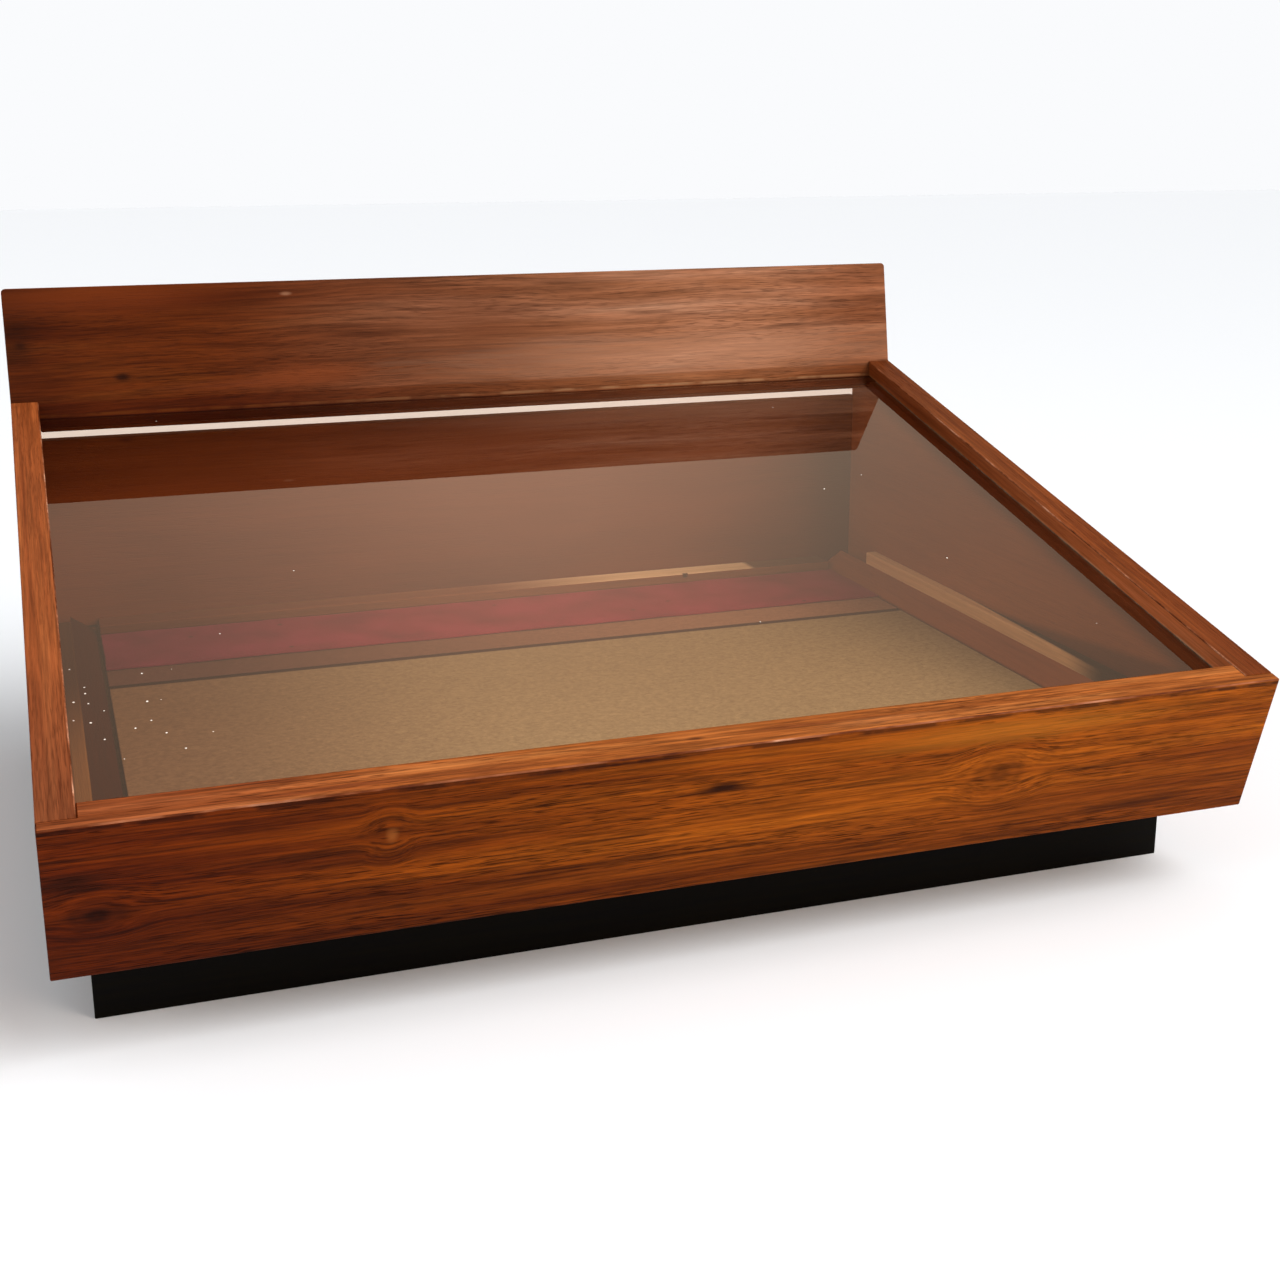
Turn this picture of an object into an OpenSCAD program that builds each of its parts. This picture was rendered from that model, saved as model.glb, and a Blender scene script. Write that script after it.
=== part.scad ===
// Counter display case: a wooden box with a sloping glass top, a leaning header board,
// a drop-down rear door and a black plinth. Millimetres, +Z up, front towards -Y.

/* [Case] */
// Outer width of the case
case_w = 460; // [320:1:640]
// Depth of the case body, from the front board's top edge to the back
case_d = 366; // [300:1:480]
// Height of the plinth, which is the height of the case's underside
plinth_h = 34; // [24:0.5:50]
// Height of the front board's top edge above the table
front_h = 92.8; // [88:0.1:120]
// Rise of the side tops towards the back, in degrees
slope = 13.6; // [10:0.1:18]
// Thickness of the side boards
side_t = 12.4; // [10:0.1:18]
// Thickness of the front board
front_t = 13.4; // [11:0.1:18]
// How far the front board leans out at its top, in degrees
front_lean = 16; // [8:0.1:20]
// Thickness of the front board's tongue that covers the side boards' ends
tongue_t = 5; // [3:0.1:8]

/* [Header] */
// Distance from the back of the case to the header's face, at the side tops
header_setback = 27; // [22:0.5:36]
// Height of the header above the side tops, along its face
header_rise = 53.3; // [40:0.1:90]
// Depth to which the header is let into the side boards, along its face
header_drop = 13; // [11:0.1:16]
// Thickness of the header board
header_t = 12.4; // [9:0.1:15]
// Lean of the header towards the back, in degrees
header_lean = 9.9; // [4:0.1:14]
// Radius of the header's two top corners
header_corner_r = 2; // [1:0.5:6]
// Height of the side boards' horns behind the header, along its back
horn_rise = 34; // [24:0.5:38]

/* [Glass] */
// Depth of the glass below the side tops, square to the slope
glass_drop = 7.5; // [5:0.1:8]
// Thickness of the glass
glass_t = 3; // [2:0.1:4]
// Depth of the grooves that hold the glass
groove_d = 4; // [3:0.1:5]
// Clearance of the glass in its grooves, on each side
glass_gap = 0.2; // [0.1:0.05:0.4]
// Gap between the lower rear edge of the glass and the header's face
glass_rear_gap = 0.3; // [0.2:0.1:0.8]

/* [Interior] */
// Thickness of the bottom panel
bottom_t = 16.4; // [14:0.1:19]
// Thickness of the two boards that make the floor
floor_t = 6.4; // [5:0.1:8]
// Open joint round the floor boards
floor_joint = 1.6; // [0.5:0.1:2]
// Distance from the back of the case to the rear floor board's front edge
rear_floor_setback = 110.5; // [100:0.5:120]
// Height of the side battens above the bottom panel
batten_h = 20.2; // [18:0.1:24]
// Thickness of the side battens
batten_t = 6.1; // [4:0.1:8]
// Distance from the back of the case to the battens' rear ends
batten_setback = 44; // [40:0.5:70]
// Height of the beads above the bottom panel, where they meet the battens
bead_h = 14.3; // [12:0.1:17]
// Width of the beads, from the battens to the floor
bead_w = 11.6; // [8:0.1:14]
// Thickness of the felt strip on the rear floor board
felt_t = 1; // [0.5:0.1:2]
// Width of the felt strip, front to back
felt_w = 59; // [40:0.1:68]
// Bare margin between the felt and the door's stop strip
felt_back_gap = 4; // [1:0.1:8]
// Bare margin between each bead and the end of the felt
felt_end = 1.9; // [0.5:0.1:8]

/* [Rear door] */
// Thickness of the door
door_t = 9; // [8.5:0.1:12]
// Finger gap between the door's top edge and the top rail
finger_gap = 5.6; // [4:0.1:9]
// Gap below the door
door_sill_gap = 0.8; // [0.5:0.1:1.5]
// Gap at each end of the door, inside the rebate
door_end_gap = 1; // [0.5:0.1:1.5]
// Depth of the rebate in each side board that the door closes into
rebate_d = 4; // [3:0.1:6]
// Gap between the closed door and what it closes against
door_stop_gap = 0.3; // [0.2:0.05:0.5]
// Depth of the stop strip at the foot of the door, front to back
stop_w = 14.7; // [8:0.1:18]
// Height of the stop strip
stop_h = 4.8; // [3:0.1:8]
// Thickness of the bottom rail below the door
sill_t = 12.4; // [10:0.1:16]
// Height of the top rail above the door
top_rail_h = 16.8; // [14:0.1:20]
// How far the top rail's underside lies below the header's lowest corner
top_rail_lap = 1.5; // [0.3:0.1:2]

/* [Hinges] */
// Distance of each hinge's middle from the side board's inner face
hinge_inset = 72.6; // [40:0.1:100]
// Width of a hinge
hinge_w = 38; // [30:1:50]
// Height of one leaf, from the pin's axis
leaf_h = 18; // [14:0.5:20]
// Thickness of the leaves
leaf_t = 1.2; // [0.8:0.1:1.6]
// Outer radius of the knuckles
knuckle_r = 2.4; // [2.2:0.1:3]
// Radius of the hinge pin
pin_r = 1.2; // [0.9:0.1:1.3]
// Running clearance round the pin
pin_gap = 0.05; // [0.02:0.01:0.08]
// Gap between neighbouring knuckles
knuckle_gap = 0.2; // [0.1:0.05:0.4]
// Gap between the knuckles and the wood behind them
knuckle_seat = 0.1; // [0.05:0.05:0.3]
// Length of the pin's swelled end
pin_end_l = 0.8; // [0.4:0.1:1.2]
// How far the pin's swelled end stands out round the pin
pin_end_lip = 0.6; // [0.3:0.1:0.8]

/* [Turn button and knob] */
// Length of the turn button
button_l = 40; // [34:1:46]
// Width of the turn button
button_w = 12; // [10:0.5:13]
// Thickness of the turn button
button_t = 2.4; // [1.8:0.1:3]
// Radius of the turn button's pivot screw
pivot_r = 1.8; // [1.5:0.1:2.2]
// Running clearance round the pivot screw
pivot_gap = 0.05; // [0.02:0.01:0.08]
// Gap between the turn button and the wood behind it
button_gap = 0.3; // [0.2:0.1:0.6]
// Radius of the door knob
knob_r = 8; // [7:0.5:9]
// How far the knob stands out behind the case
knob_reach = 16; // [14:0.5:20]
// Distance from the door's top edge down to the knob's axis
knob_drop = 25; // [20:0.5:40]
// Radius of the knob's fixing stud
stud_r = 2.5; // [2:0.1:3]
// Depth of the knob's fixing stud in the door
stud_l = 6; // [4:0.1:7]

/* [Plinth] */
// Inset of the plinth from the case's outer sides
plinth_inset = 12.8; // [5:0.1:30]
// Distance from the front top edge back to the plinth's front face
plinth_front_y = 52.1; // [36:0.1:80]
// Inset of the plinth from the back of the case
plinth_back_inset = 20; // [10:0.5:40]
// Thickness of the plinth boards
plinth_t = 12; // [9:0.1:16]
// Radius of the plinth's outer corners
plinth_r = 4; // [2:0.5:6]
// Side of the square corner blocks
block_w = 20; // [16:0.5:26]
// Gap between the table and the corner blocks
block_lift = 4; // [2:0.5:8]

/* [Screws] */
// Shank radius of the wood screws in the header and plinth
screw_r = 1.8; // [1.4:0.1:2.1]
// Head radius of those screws
screw_head_r = 3.6; // [3.2:0.1:4]
// Length of the header screws
header_screw_l = 20; // [18:0.5:22]
// Height of the lower header screw above the header's foot
header_screw_rise = 9; // [6:0.5:14]
// Distance of the upper header screw below the horn's top
horn_screw_margin = 10; // [7:0.5:12]
// Depth to which the plinth screws reach into the bottom panel
plinth_screw_bite = 8; // [5:0.5:8.5]
// Shank radius of the hinge screws
hinge_screw_r = 1.3; // [1:0.1:1.4]
// Head radius of the hinge screws
hinge_screw_head_r = 2.5; // [2.2:0.1:2.8]
// Length of the hinge screws
hinge_screw_l = 8; // [6:0.1:8.5]
// Clearance of a screw in its hole
screw_gap = 0.1; // [0.05:0.05:0.2]

/* [Hidden] */
$fn = 48;

// Overlap of a cut past the face that it opens
cut = 1;

half_w = case_w / 2;
inner_x = half_w - side_t;
header_y = case_d - header_setback;
total_d = case_d + knob_reach;

// Levels, from the table up
panel_top = plinth_h + bottom_t;
floor_top = panel_top + floor_t;
door_z0 = floor_top + door_sill_gap;

// Height of the side tops at a depth y, and depth of a plane parallel to the front face,
// set back by o, at a height z and where it meets the side tops
function top_z(y) = front_h + y * tan(slope);
function face_y(z, o) = (front_h - z) * tan(front_lean) + o / cos(front_lean);
function crest_y(o) = o / cos(front_lean) / (1 + tan(slope) * tan(front_lean));

// A point in the header's own section: v up along its face, w back through its thickness
function header_point(v, w) = [
    header_y + v * sin(header_lean) + w * cos(header_lean),
    top_z(header_y) + v * cos(header_lean) - w * sin(header_lean)
];
header_foot = header_point(-header_drop, header_t);
function header_back_y(z) = header_foot[0] + (z - header_foot[1]) * tan(header_lean);

top_rail_z = header_foot[1] - top_rail_lap;
door_z1 = top_rail_z - finger_gap;
door_face_y = case_d - door_t;
stop_y1 = door_face_y - door_stop_gap;
stop_y0 = stop_y1 - stop_w;
sill_y0 = case_d - sill_t;

// The beads lie between the battens and the floor boards
batten_x = inner_x - batten_t;
bead_x = batten_x - bead_w;
floor_x = bead_x - floor_joint;
rear_floor_y0 = case_d - rear_floor_setback;

hinge_x = inner_x - hinge_inset;
hinge_off = knuckle_r + knuckle_seat;
hinge_z = floor_top + door_sill_gap / 2;
leaf_screw_drop = (leaf_h + knuckle_r) / 2;
leaf_screw_pitch = hinge_w / 3;
button_z = top_rail_z + top_rail_h / 2;
knob_z = door_z1 - knob_drop;

// Slope length up to the header's face, and where the glass starts and ends on it
slope_l = header_y / cos(slope);
glass_s0 = front_t - groove_d + glass_gap;
glass_s1 = slope_l - (glass_drop + glass_t) * tan(slope + header_lean) - glass_rear_gap;

// Moves the case so that its box is centred on the origin
module placed() { translate([0, -total_d / 2, 0]) children(); }

// Extrudes a section drawn in depth and height from x0 to x1
module across(x0, x1) {
    translate([x0, 0, 0]) rotate([90, 0, 90]) linear_extrude(x1 - x0) children();
}

// The plane of the side tops: x, distance up the slope, height above it
module on_slope() { translate([0, 0, front_h]) rotate([slope, 0, 0]) children(); }

// The header's face: x, depth behind it, height along it from the side tops
module on_header() {
    translate([0, header_y, top_z(header_y)]) rotate([-header_lean, 0, 0]) children();
}

// Points an axis along Z out of the back of the case
module facing_back() { rotate([-90, 0, 0]) children(); }

// Section of a strip parallel to the front face, set back from o0 to o1, between two heights
module lean_section(o0, o1, z0, z1) {
    polygon([
        [face_y(z0, o0), z0], [face_y(z0, o1), z0],
        [face_y(z1, o1), z1], [face_y(z1, o0), z1]
    ]);
}

// Slotted countersunk screw with its head's top at the origin, driven along -Z
module wood_screw(l, r, head_r) {
    head_h = head_r - r;
    tip_l = 3 * r;
    tip_r = r / 6;
    slot_w = 2 * r / 5;
    difference() {
        rotate_extrude() polygon([
            [0, 0], [head_r, 0], [r, -head_h], [r, tip_l - l], [tip_r, -l], [0, -l]
        ]);
        translate([-head_r - cut, -slot_w / 2, -head_h / 2])
            cube([2 * (head_r + cut), slot_w, head_h / 2 + cut]);
    }
}

// Hole for such a screw, countersunk, with its clearance
module screw_hole(l, r, head_r) {
    head_h = head_r - r;
    hole_r = r + screw_gap;
    mouth_r = head_r + screw_gap;
    rotate_extrude() polygon([
        [0, cut], [mouth_r, cut], [mouth_r, 0], [hole_r, -head_h],
        [hole_r, -l - screw_gap], [0, -l - screw_gap]
    ]);
}

// The four header screws' places, in the horns behind the header
module at_header_screws() {
    for (side = [-1, 1],
         v = [header_screw_rise - header_drop, horn_rise - horn_screw_margin])
        translate([side * (half_w - side_t / 2), case_d, header_point(v, header_t)[1]])
            facing_back() children();
}

// The plinth blocks' middles
module at_blocks() {
    edge_x = half_w - plinth_inset - plinth_t - block_w / 2;
    front_y = plinth_front_y + plinth_t + block_w / 2;
    back_y = case_d - plinth_back_inset - plinth_t - block_w / 2;
    for (x = [-edge_x, edge_x], y = [front_y, back_y])
        translate([x, y, block_lift]) children();
}

// The screws' places in one leaf, and both hinges' places: dir is 1 for the door's leaf
module at_leaf_screws(dir) {
    for (x = [-hinge_x, hinge_x], i = [-1, 0, 1])
        translate([x + i * leaf_screw_pitch, case_d + leaf_t, hinge_z + dir * leaf_screw_drop])
            facing_back() children();
}

// Side board on the right: sloping top, notch for the header and a horn behind it
module side_board() {
    horn = header_point(horn_rise, header_t);
    difference() {
        across(inner_x, half_w) polygon([
            [crest_y(tongue_t), top_z(crest_y(tongue_t))],
            header_point(0, 0),
            header_point(-header_drop, 0),
            header_foot,
            horn,
            [case_d, horn[1] - (case_d - horn[0]) * tan(header_lean)],
            [case_d, plinth_h],
            [face_y(plinth_h, tongue_t), plinth_h]
        ]);
        on_slope()
            translate([inner_x - cut, 0, -glass_drop - glass_t - glass_gap])
                cube([groove_d + cut, slope_l, glass_t + 2 * glass_gap]);
        translate([inner_x - cut, stop_y1, floor_top])
            cube([rebate_d + cut, door_t + door_stop_gap + cut, top_rail_z - floor_top]);
        at_header_screws() screw_hole(header_screw_l, screw_r, screw_head_r);
    }
}
module side_left() { color("#9a5128") placed() mirror([1, 0, 0]) side_board(); }
module side_right() { color("#9a5128") placed() side_board(); }

// Front board: it leans out, its ends are rebated over the side boards
module front_board() {
    color("#8a4a1e") placed() difference() {
        across(-half_w, half_w) polygon([
            [0, front_h],
            [crest_y(front_t), top_z(crest_y(front_t))],
            [face_y(plinth_h, front_t), plinth_h],
            [face_y(plinth_h, 0), plinth_h]
        ]);
        for (x0 = [-half_w - cut, inner_x])
            across(x0, x0 + side_t + cut)
                lean_section(tongue_t, front_t + cut, plinth_h - cut, front_h + front_t);
        on_slope()
            translate([-half_w, front_t - groove_d, -glass_drop - glass_t - glass_gap])
                cube([case_w, groove_d + cut, glass_t + 2 * glass_gap]);
    }
}

// Header: one board the full width of the case, let into the side boards
module header_board() {
    h = header_drop + header_rise;
    r = header_corner_r;
    color("#7a3f20") placed() difference() {
        on_header()
            translate([0, header_t, -header_drop]) rotate([90, 0, 0]) linear_extrude(header_t) {
                translate([-half_w, 0]) square([case_w, h - r]);
                translate([-half_w + r, 0]) square([case_w - 2 * r, h]);
                for (x = [r - half_w, half_w - r]) translate([x, h - r]) circle(r);
            }
        at_header_screws() screw_hole(header_screw_l, screw_r, screw_head_r);
    }
}

// Top rail above the door, fitted to the header's leaning back
module top_rail() {
    top = top_rail_z + top_rail_h;
    color("#6b3a20") placed() difference() {
        across(-inner_x, inner_x) polygon([
            [header_back_y(top_rail_z), top_rail_z],
            [case_d, top_rail_z],
            [case_d, top],
            [header_back_y(top), top]
        ]);
        translate([0, case_d, button_z]) facing_back()
            translate([0, 0, -stud_l - cut]) cylinder(h = stud_l + 2 * cut, r = pivot_r + screw_gap);
    }
}

// Bottom rail below the door, which carries the hinges
module bottom_rail() {
    color("#6b3a20") placed() difference() {
        translate([-inner_x, sill_y0, plinth_h]) cube([2 * inner_x, sill_t, floor_top - plinth_h]);
        at_leaf_screws(-1) screw_hole(hinge_screw_l, hinge_screw_r, hinge_screw_head_r);
    }
}

// Bottom panel between the side boards, bevelled against the front board
module bottom_panel() {
    color("#b08a5c") placed() difference() {
        across(-inner_x, inner_x) polygon([
            [face_y(plinth_h, front_t), plinth_h], [sill_y0, plinth_h],
            [sill_y0, panel_top], [face_y(panel_top, front_t), panel_top]
        ]);
        at_blocks()
            translate([0, 0, plinth_h - block_lift - cut])
                cylinder(h = plinth_screw_bite + cut + screw_gap, r = screw_r + screw_gap);
    }
}

// Two floor boards on the bottom panel, one behind the other, between the beads
module floor_board(y0, y1) {
    color("#96784f") placed()
        translate([-floor_x, y0, panel_top]) cube([2 * floor_x, y1 - y0, floor_t]);
}
module front_floor() {
    floor_board(face_y(panel_top, front_t) + floor_joint, rear_floor_y0 - floor_joint);
}
module rear_floor() { floor_board(rear_floor_y0, sill_y0); }

// Lath on the bottom panel from x0 to x1, planed to the front board's lean
module lath(x0, x1, back, h) {
    across(x0, x1) polygon([
        [face_y(panel_top, front_t), panel_top], [back, panel_top],
        [back, panel_top + h], [face_y(panel_top + h, front_t), panel_top + h]
    ]);
}

// Batten along the right side board
module batten() { lath(batten_x, inner_x, case_d - batten_setback, batten_h); }
module batten_left() { color("#c8a87c") placed() mirror([1, 0, 0]) batten(); }
module batten_right() { color("#c8a87c") placed() batten(); }

// Bead beside it, bevelled down to the floor
module bead() {
    rise = (bead_h - floor_t) / bead_w;
    top = panel_top + bead_h + bead_w;
    difference() {
        lath(bead_x, batten_x, sill_y0, bead_h);
        translate([0, case_d, 0]) rotate([90, 0, 0]) linear_extrude(case_d) polygon([
            [bead_x - cut, floor_top - cut * rise],
            [batten_x + cut, panel_top + bead_h + cut * rise],
            [batten_x + cut, top], [bead_x - cut, top]
        ]);
    }
}
module bead_left() { color("#6b4630") placed() mirror([1, 0, 0]) bead(); }
module bead_right() { color("#6b4630") placed() bead(); }

// Felt strip glued on the rear floor board
module felt_strip() {
    x = bead_x - felt_end;
    color("#7a1f22") placed()
        translate([-x, stop_y0 - felt_back_gap - felt_w, floor_top]) cube([2 * x, felt_w, felt_t]);
}

// Stop strip between the beads that the foot of the door closes against
module door_stop() {
    color("#d8bd92") placed()
        translate([-floor_x, stop_y0, floor_top]) cube([2 * floor_x, stop_w, stop_h]);
}

// Sheet of glass, slid into its grooves from the back
module glass_pane() {
    x = inner_x + groove_d - glass_gap;
    color("#c8d8d0", 0.35) placed() on_slope()
        translate([-x, glass_s0, -glass_drop - glass_t]) cube([2 * x, glass_s1 - glass_s0, glass_t]);
}

// Section of a plinth board with its two outer corners rounded, along X
module plinth_section() {
    l = case_w - 2 * plinth_inset;
    r = plinth_r;
    translate([-l / 2, r]) square([l, plinth_t - r]);
    translate([r - l / 2, 0]) square([l - 2 * r, plinth_t]);
    for (x = [r - l / 2, l / 2 - r]) translate([x, r]) circle(r);
}
module plinth_front() {
    color("#15120f") placed()
        translate([0, plinth_front_y, 0]) linear_extrude(plinth_h) plinth_section();
}
module plinth_back() {
    color("#15120f") placed()
        translate([0, case_d - plinth_back_inset, 0])
            linear_extrude(plinth_h) mirror([0, 1]) plinth_section();
}
module plinth_side() {
    y0 = plinth_front_y + plinth_t;
    y1 = case_d - plinth_back_inset - plinth_t;
    translate([half_w - plinth_inset - plinth_t, y0, 0]) cube([plinth_t, y1 - y0, plinth_h]);
}
module plinth_left() { color("#15120f") placed() mirror([1, 0, 0]) plinth_side(); }
module plinth_right() { color("#15120f") placed() plinth_side(); }

// Four corner blocks that join the plinth to the bottom panel
module plinth_blocks() {
    h = plinth_h - block_lift;
    color("#8a6a44") placed() at_blocks() difference() {
        translate([-block_w / 2, -block_w / 2, 0]) cube([block_w, block_w, h]);
        rotate([180, 0, 0]) screw_hole(h + cut, screw_r, screw_head_r);
    }
}
module plinth_screws() {
    color("#8c8f92") placed() at_blocks() rotate([180, 0, 0])
        wood_screw(plinth_h - block_lift + plinth_screw_bite, screw_r, screw_head_r);
}
module header_screws() {
    color("#8c8f92") placed()
        at_header_screws() wood_screw(header_screw_l, screw_r, screw_head_r);
}

// Rear door, hung at its foot, with its back flush with the case
module rear_door() {
    x = inner_x + rebate_d - door_end_gap;
    color("#7a4626") placed() difference() {
        translate([-x, door_face_y, door_z0]) cube([2 * x, door_t, door_z1 - door_z0]);
        at_leaf_screws(1) screw_hole(hinge_screw_l, hinge_screw_r, hinge_screw_head_r);
        translate([0, case_d, knob_z]) facing_back()
            translate([0, 0, -stud_l - screw_gap]) cylinder(h = stud_l + cut, r = stud_r + screw_gap);
    }
}

// Turned knob with a fixing stud
module door_knob() {
    base_r = 0.7 * knob_r;
    neck_r = 0.5 * knob_r;
    head_h = 0.35 * knob_reach;
    color("#b08d3f") placed() translate([0, case_d, knob_z]) facing_back() rotate_extrude()
        polygon(concat(
            [
                [0, -stud_l], [stud_r, -stud_l], [stud_r, 0], [base_r, 0],
                [base_r, knob_reach / 10], [neck_r, knob_reach / 4]
            ],
            [for (a = [-60 : 15 : 90])
                [knob_r * cos(a), knob_reach - head_h + head_h * sin(a)]]
        ));
}

// One hinge leaf about its pin's axis. It hangs below the axis; knuckles lists its own
// out of five places.
module hinge_leaf(knuckles) {
    pitch = hinge_w / 5;
    relief = knuckle_r + knuckle_gap;
    difference() {
        union() {
            translate([-hinge_w / 2, -hinge_off, -leaf_h])
                cube([hinge_w, leaf_t, leaf_h - relief]);
            for (k = knuckles) translate([-hinge_w / 2 + k * pitch + knuckle_gap / 2, 0, 0]) {
                translate([0, -hinge_off, -relief - cut])
                    cube([pitch - knuckle_gap, leaf_t, relief + cut]);
                rotate([0, 90, 0]) cylinder(h = pitch - knuckle_gap, r = knuckle_r);
            }
        }
        translate([-hinge_w / 2 - cut, 0, 0]) rotate([0, 90, 0])
            cylinder(h = hinge_w + 2 * cut, r = pin_r + pin_gap);
    }
}
module at_hinge(side) {
    translate([side * hinge_x, case_d + hinge_off, hinge_z]) children();
}
module case_leaf(side) {
    color("#b08d3f") placed() difference() {
        at_hinge(side) hinge_leaf([0, 2, 4]);
        at_leaf_screws(-1) screw_hole(hinge_screw_l, hinge_screw_r, hinge_screw_head_r);
    }
}
module door_leaf(side) {
    color("#b08d3f") placed() difference() {
        at_hinge(side) mirror([0, 0, 1]) hinge_leaf([1, 3]);
        at_leaf_screws(1) screw_hole(hinge_screw_l, hinge_screw_r, hinge_screw_head_r);
    }
}
module hinge_pin(side) {
    color("#9c9c98") placed() at_hinge(side) rotate([0, 90, 0]) {
        cylinder(h = hinge_w, r = pin_r, center = true);
        for (dir = [0, 180]) rotate([dir, 0, 0])
            translate([0, 0, hinge_w / 2])
                cylinder(h = pin_end_l, r1 = pin_r + pin_end_lip, r2 = pin_r);
    }
}
module hinge_case_leaf_left() { case_leaf(-1); }
module hinge_case_leaf_right() { case_leaf(1); }
module hinge_door_leaf_left() { door_leaf(-1); }
module hinge_door_leaf_right() { door_leaf(1); }
module hinge_pin_left() { hinge_pin(-1); }
module hinge_pin_right() { hinge_pin(1); }
module hinge_case_screws() {
    color("#b08d3f") placed()
        at_leaf_screws(-1) wood_screw(hinge_screw_l, hinge_screw_r, hinge_screw_head_r);
}
module hinge_door_screws() {
    color("#b08d3f") placed()
        at_leaf_screws(1) wood_screw(hinge_screw_l, hinge_screw_r, hinge_screw_head_r);
}

// Turn button on the top rail, drawn across the case: turned upright it holds the door
module turn_button() {
    straight = button_l - button_w;
    color("#b08d3f") placed()
        translate([0, case_d + button_gap, button_z]) facing_back() difference() {
            union() {
                translate([-straight / 2, -button_w / 2, 0]) cube([straight, button_w, button_t]);
                for (x = [-straight / 2, straight / 2])
                    translate([x, 0, 0]) cylinder(h = button_t, r = button_w / 2);
            }
            translate([0, 0, -cut]) cylinder(h = button_t + 2 * cut, r = pivot_r + pivot_gap);
        }
}

// Round-headed screw that the turn button swings on
module button_screw() {
    head_r = 2.1 * pivot_r;
    head_h = 1.2 * pivot_r;
    seat = button_gap + button_t + button_gap / 2;
    color("#b08d3f") placed()
        translate([0, case_d, button_z]) facing_back() difference() {
            union() {
                translate([0, 0, -stud_l]) cylinder(h = stud_l + seat + head_h / 2, r = pivot_r);
                translate([0, 0, seat]) cylinder(h = head_h / 2, r = head_r);
                translate([0, 0, seat + head_h / 2])
                    cylinder(h = head_h / 2, r1 = head_r, r2 = head_r / 2);
            }
            translate([-head_r, -pivot_r / 5, seat + head_h / 2])
                cube([2 * head_r, 2 * pivot_r / 5, head_h]);
        }
}

side_left();
side_right();
front_board();
header_board();
top_rail();
bottom_rail();
bottom_panel();
front_floor();
rear_floor();
batten_left();
batten_right();
bead_left();
bead_right();
felt_strip();
door_stop();
glass_pane();
plinth_front();
plinth_back();
plinth_left();
plinth_right();
plinth_blocks();
plinth_screws();
header_screws();
rear_door();
door_knob();
hinge_case_leaf_left();
hinge_case_leaf_right();
hinge_door_leaf_left();
hinge_door_leaf_right();
hinge_pin_left();
hinge_pin_right();
hinge_case_screws();
hinge_door_screws();
turn_button();
button_screw();
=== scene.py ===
"""A counter display case for pens: walnut boards, a sloping glass top, a leaning header
board, a drop-down rear door and a black plinth. Metres, +Z up, front towards -Y."""

import contextlib
import math

import bmesh
import bpy
from mathutils import Matrix, Vector


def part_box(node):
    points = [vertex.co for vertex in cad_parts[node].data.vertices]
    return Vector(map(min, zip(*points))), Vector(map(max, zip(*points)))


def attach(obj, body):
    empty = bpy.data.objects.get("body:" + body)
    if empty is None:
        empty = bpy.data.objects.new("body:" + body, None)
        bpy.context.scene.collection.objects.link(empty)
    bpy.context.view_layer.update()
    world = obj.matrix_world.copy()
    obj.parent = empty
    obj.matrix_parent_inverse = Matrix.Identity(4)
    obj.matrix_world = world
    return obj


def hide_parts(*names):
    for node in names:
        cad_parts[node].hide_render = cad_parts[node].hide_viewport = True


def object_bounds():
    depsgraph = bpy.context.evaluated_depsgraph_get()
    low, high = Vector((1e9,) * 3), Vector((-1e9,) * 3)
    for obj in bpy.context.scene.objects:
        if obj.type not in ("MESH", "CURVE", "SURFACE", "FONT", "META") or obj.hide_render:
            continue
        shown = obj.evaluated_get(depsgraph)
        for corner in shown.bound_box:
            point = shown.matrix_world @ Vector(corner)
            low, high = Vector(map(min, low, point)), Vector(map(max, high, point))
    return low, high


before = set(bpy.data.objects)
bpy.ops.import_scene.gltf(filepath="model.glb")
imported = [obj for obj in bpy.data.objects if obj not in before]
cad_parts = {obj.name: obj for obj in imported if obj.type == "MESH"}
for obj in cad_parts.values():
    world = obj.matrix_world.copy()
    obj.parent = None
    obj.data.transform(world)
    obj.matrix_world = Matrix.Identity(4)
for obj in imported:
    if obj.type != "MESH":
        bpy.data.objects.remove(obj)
CAD_BOX = [list(corner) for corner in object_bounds()]

MM = 0.001
SLOPE = math.radians(13.6)
FRONT_LEAN = math.radians(16)
HEADER_LEAN = math.radians(9.9)

# What the boards are set out from
LEFT, RIGHT = CAD_BOX[0][0], CAD_BOX[1][0]
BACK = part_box("side_right")[1].y
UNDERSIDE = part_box("side_right")[0].z
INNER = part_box("side_right")[0].x
FRONT_H = 92.8 * MM
HEADER_Y = 148 * MM
FRONT_EDGE = Vector((0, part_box("front_board")[0].y, FRONT_H))
HEADER_FACE = Vector((0, HEADER_Y, FRONT_EDGE.z + (HEADER_Y - FRONT_EDGE.y) * math.tan(SLOPE)))
FLOOR_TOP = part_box("rear_floor")[1].z
RAIL_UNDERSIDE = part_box("top_rail")[0].z

# Outward directions of the planes that the boards are sawn to
TOPS = Vector((0, -math.sin(SLOPE), math.cos(SLOPE)))
FRONT = Vector((0, -math.cos(FRONT_LEAN), -math.sin(FRONT_LEAN)))
HEADER_FRONT = Vector((0, -math.cos(HEADER_LEAN), math.sin(HEADER_LEAN)))
HEADER_UP = Vector((0, math.sin(HEADER_LEAN), math.cos(HEADER_LEAN)))
INTO_BACK = Vector((0, -1, 0))

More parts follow.
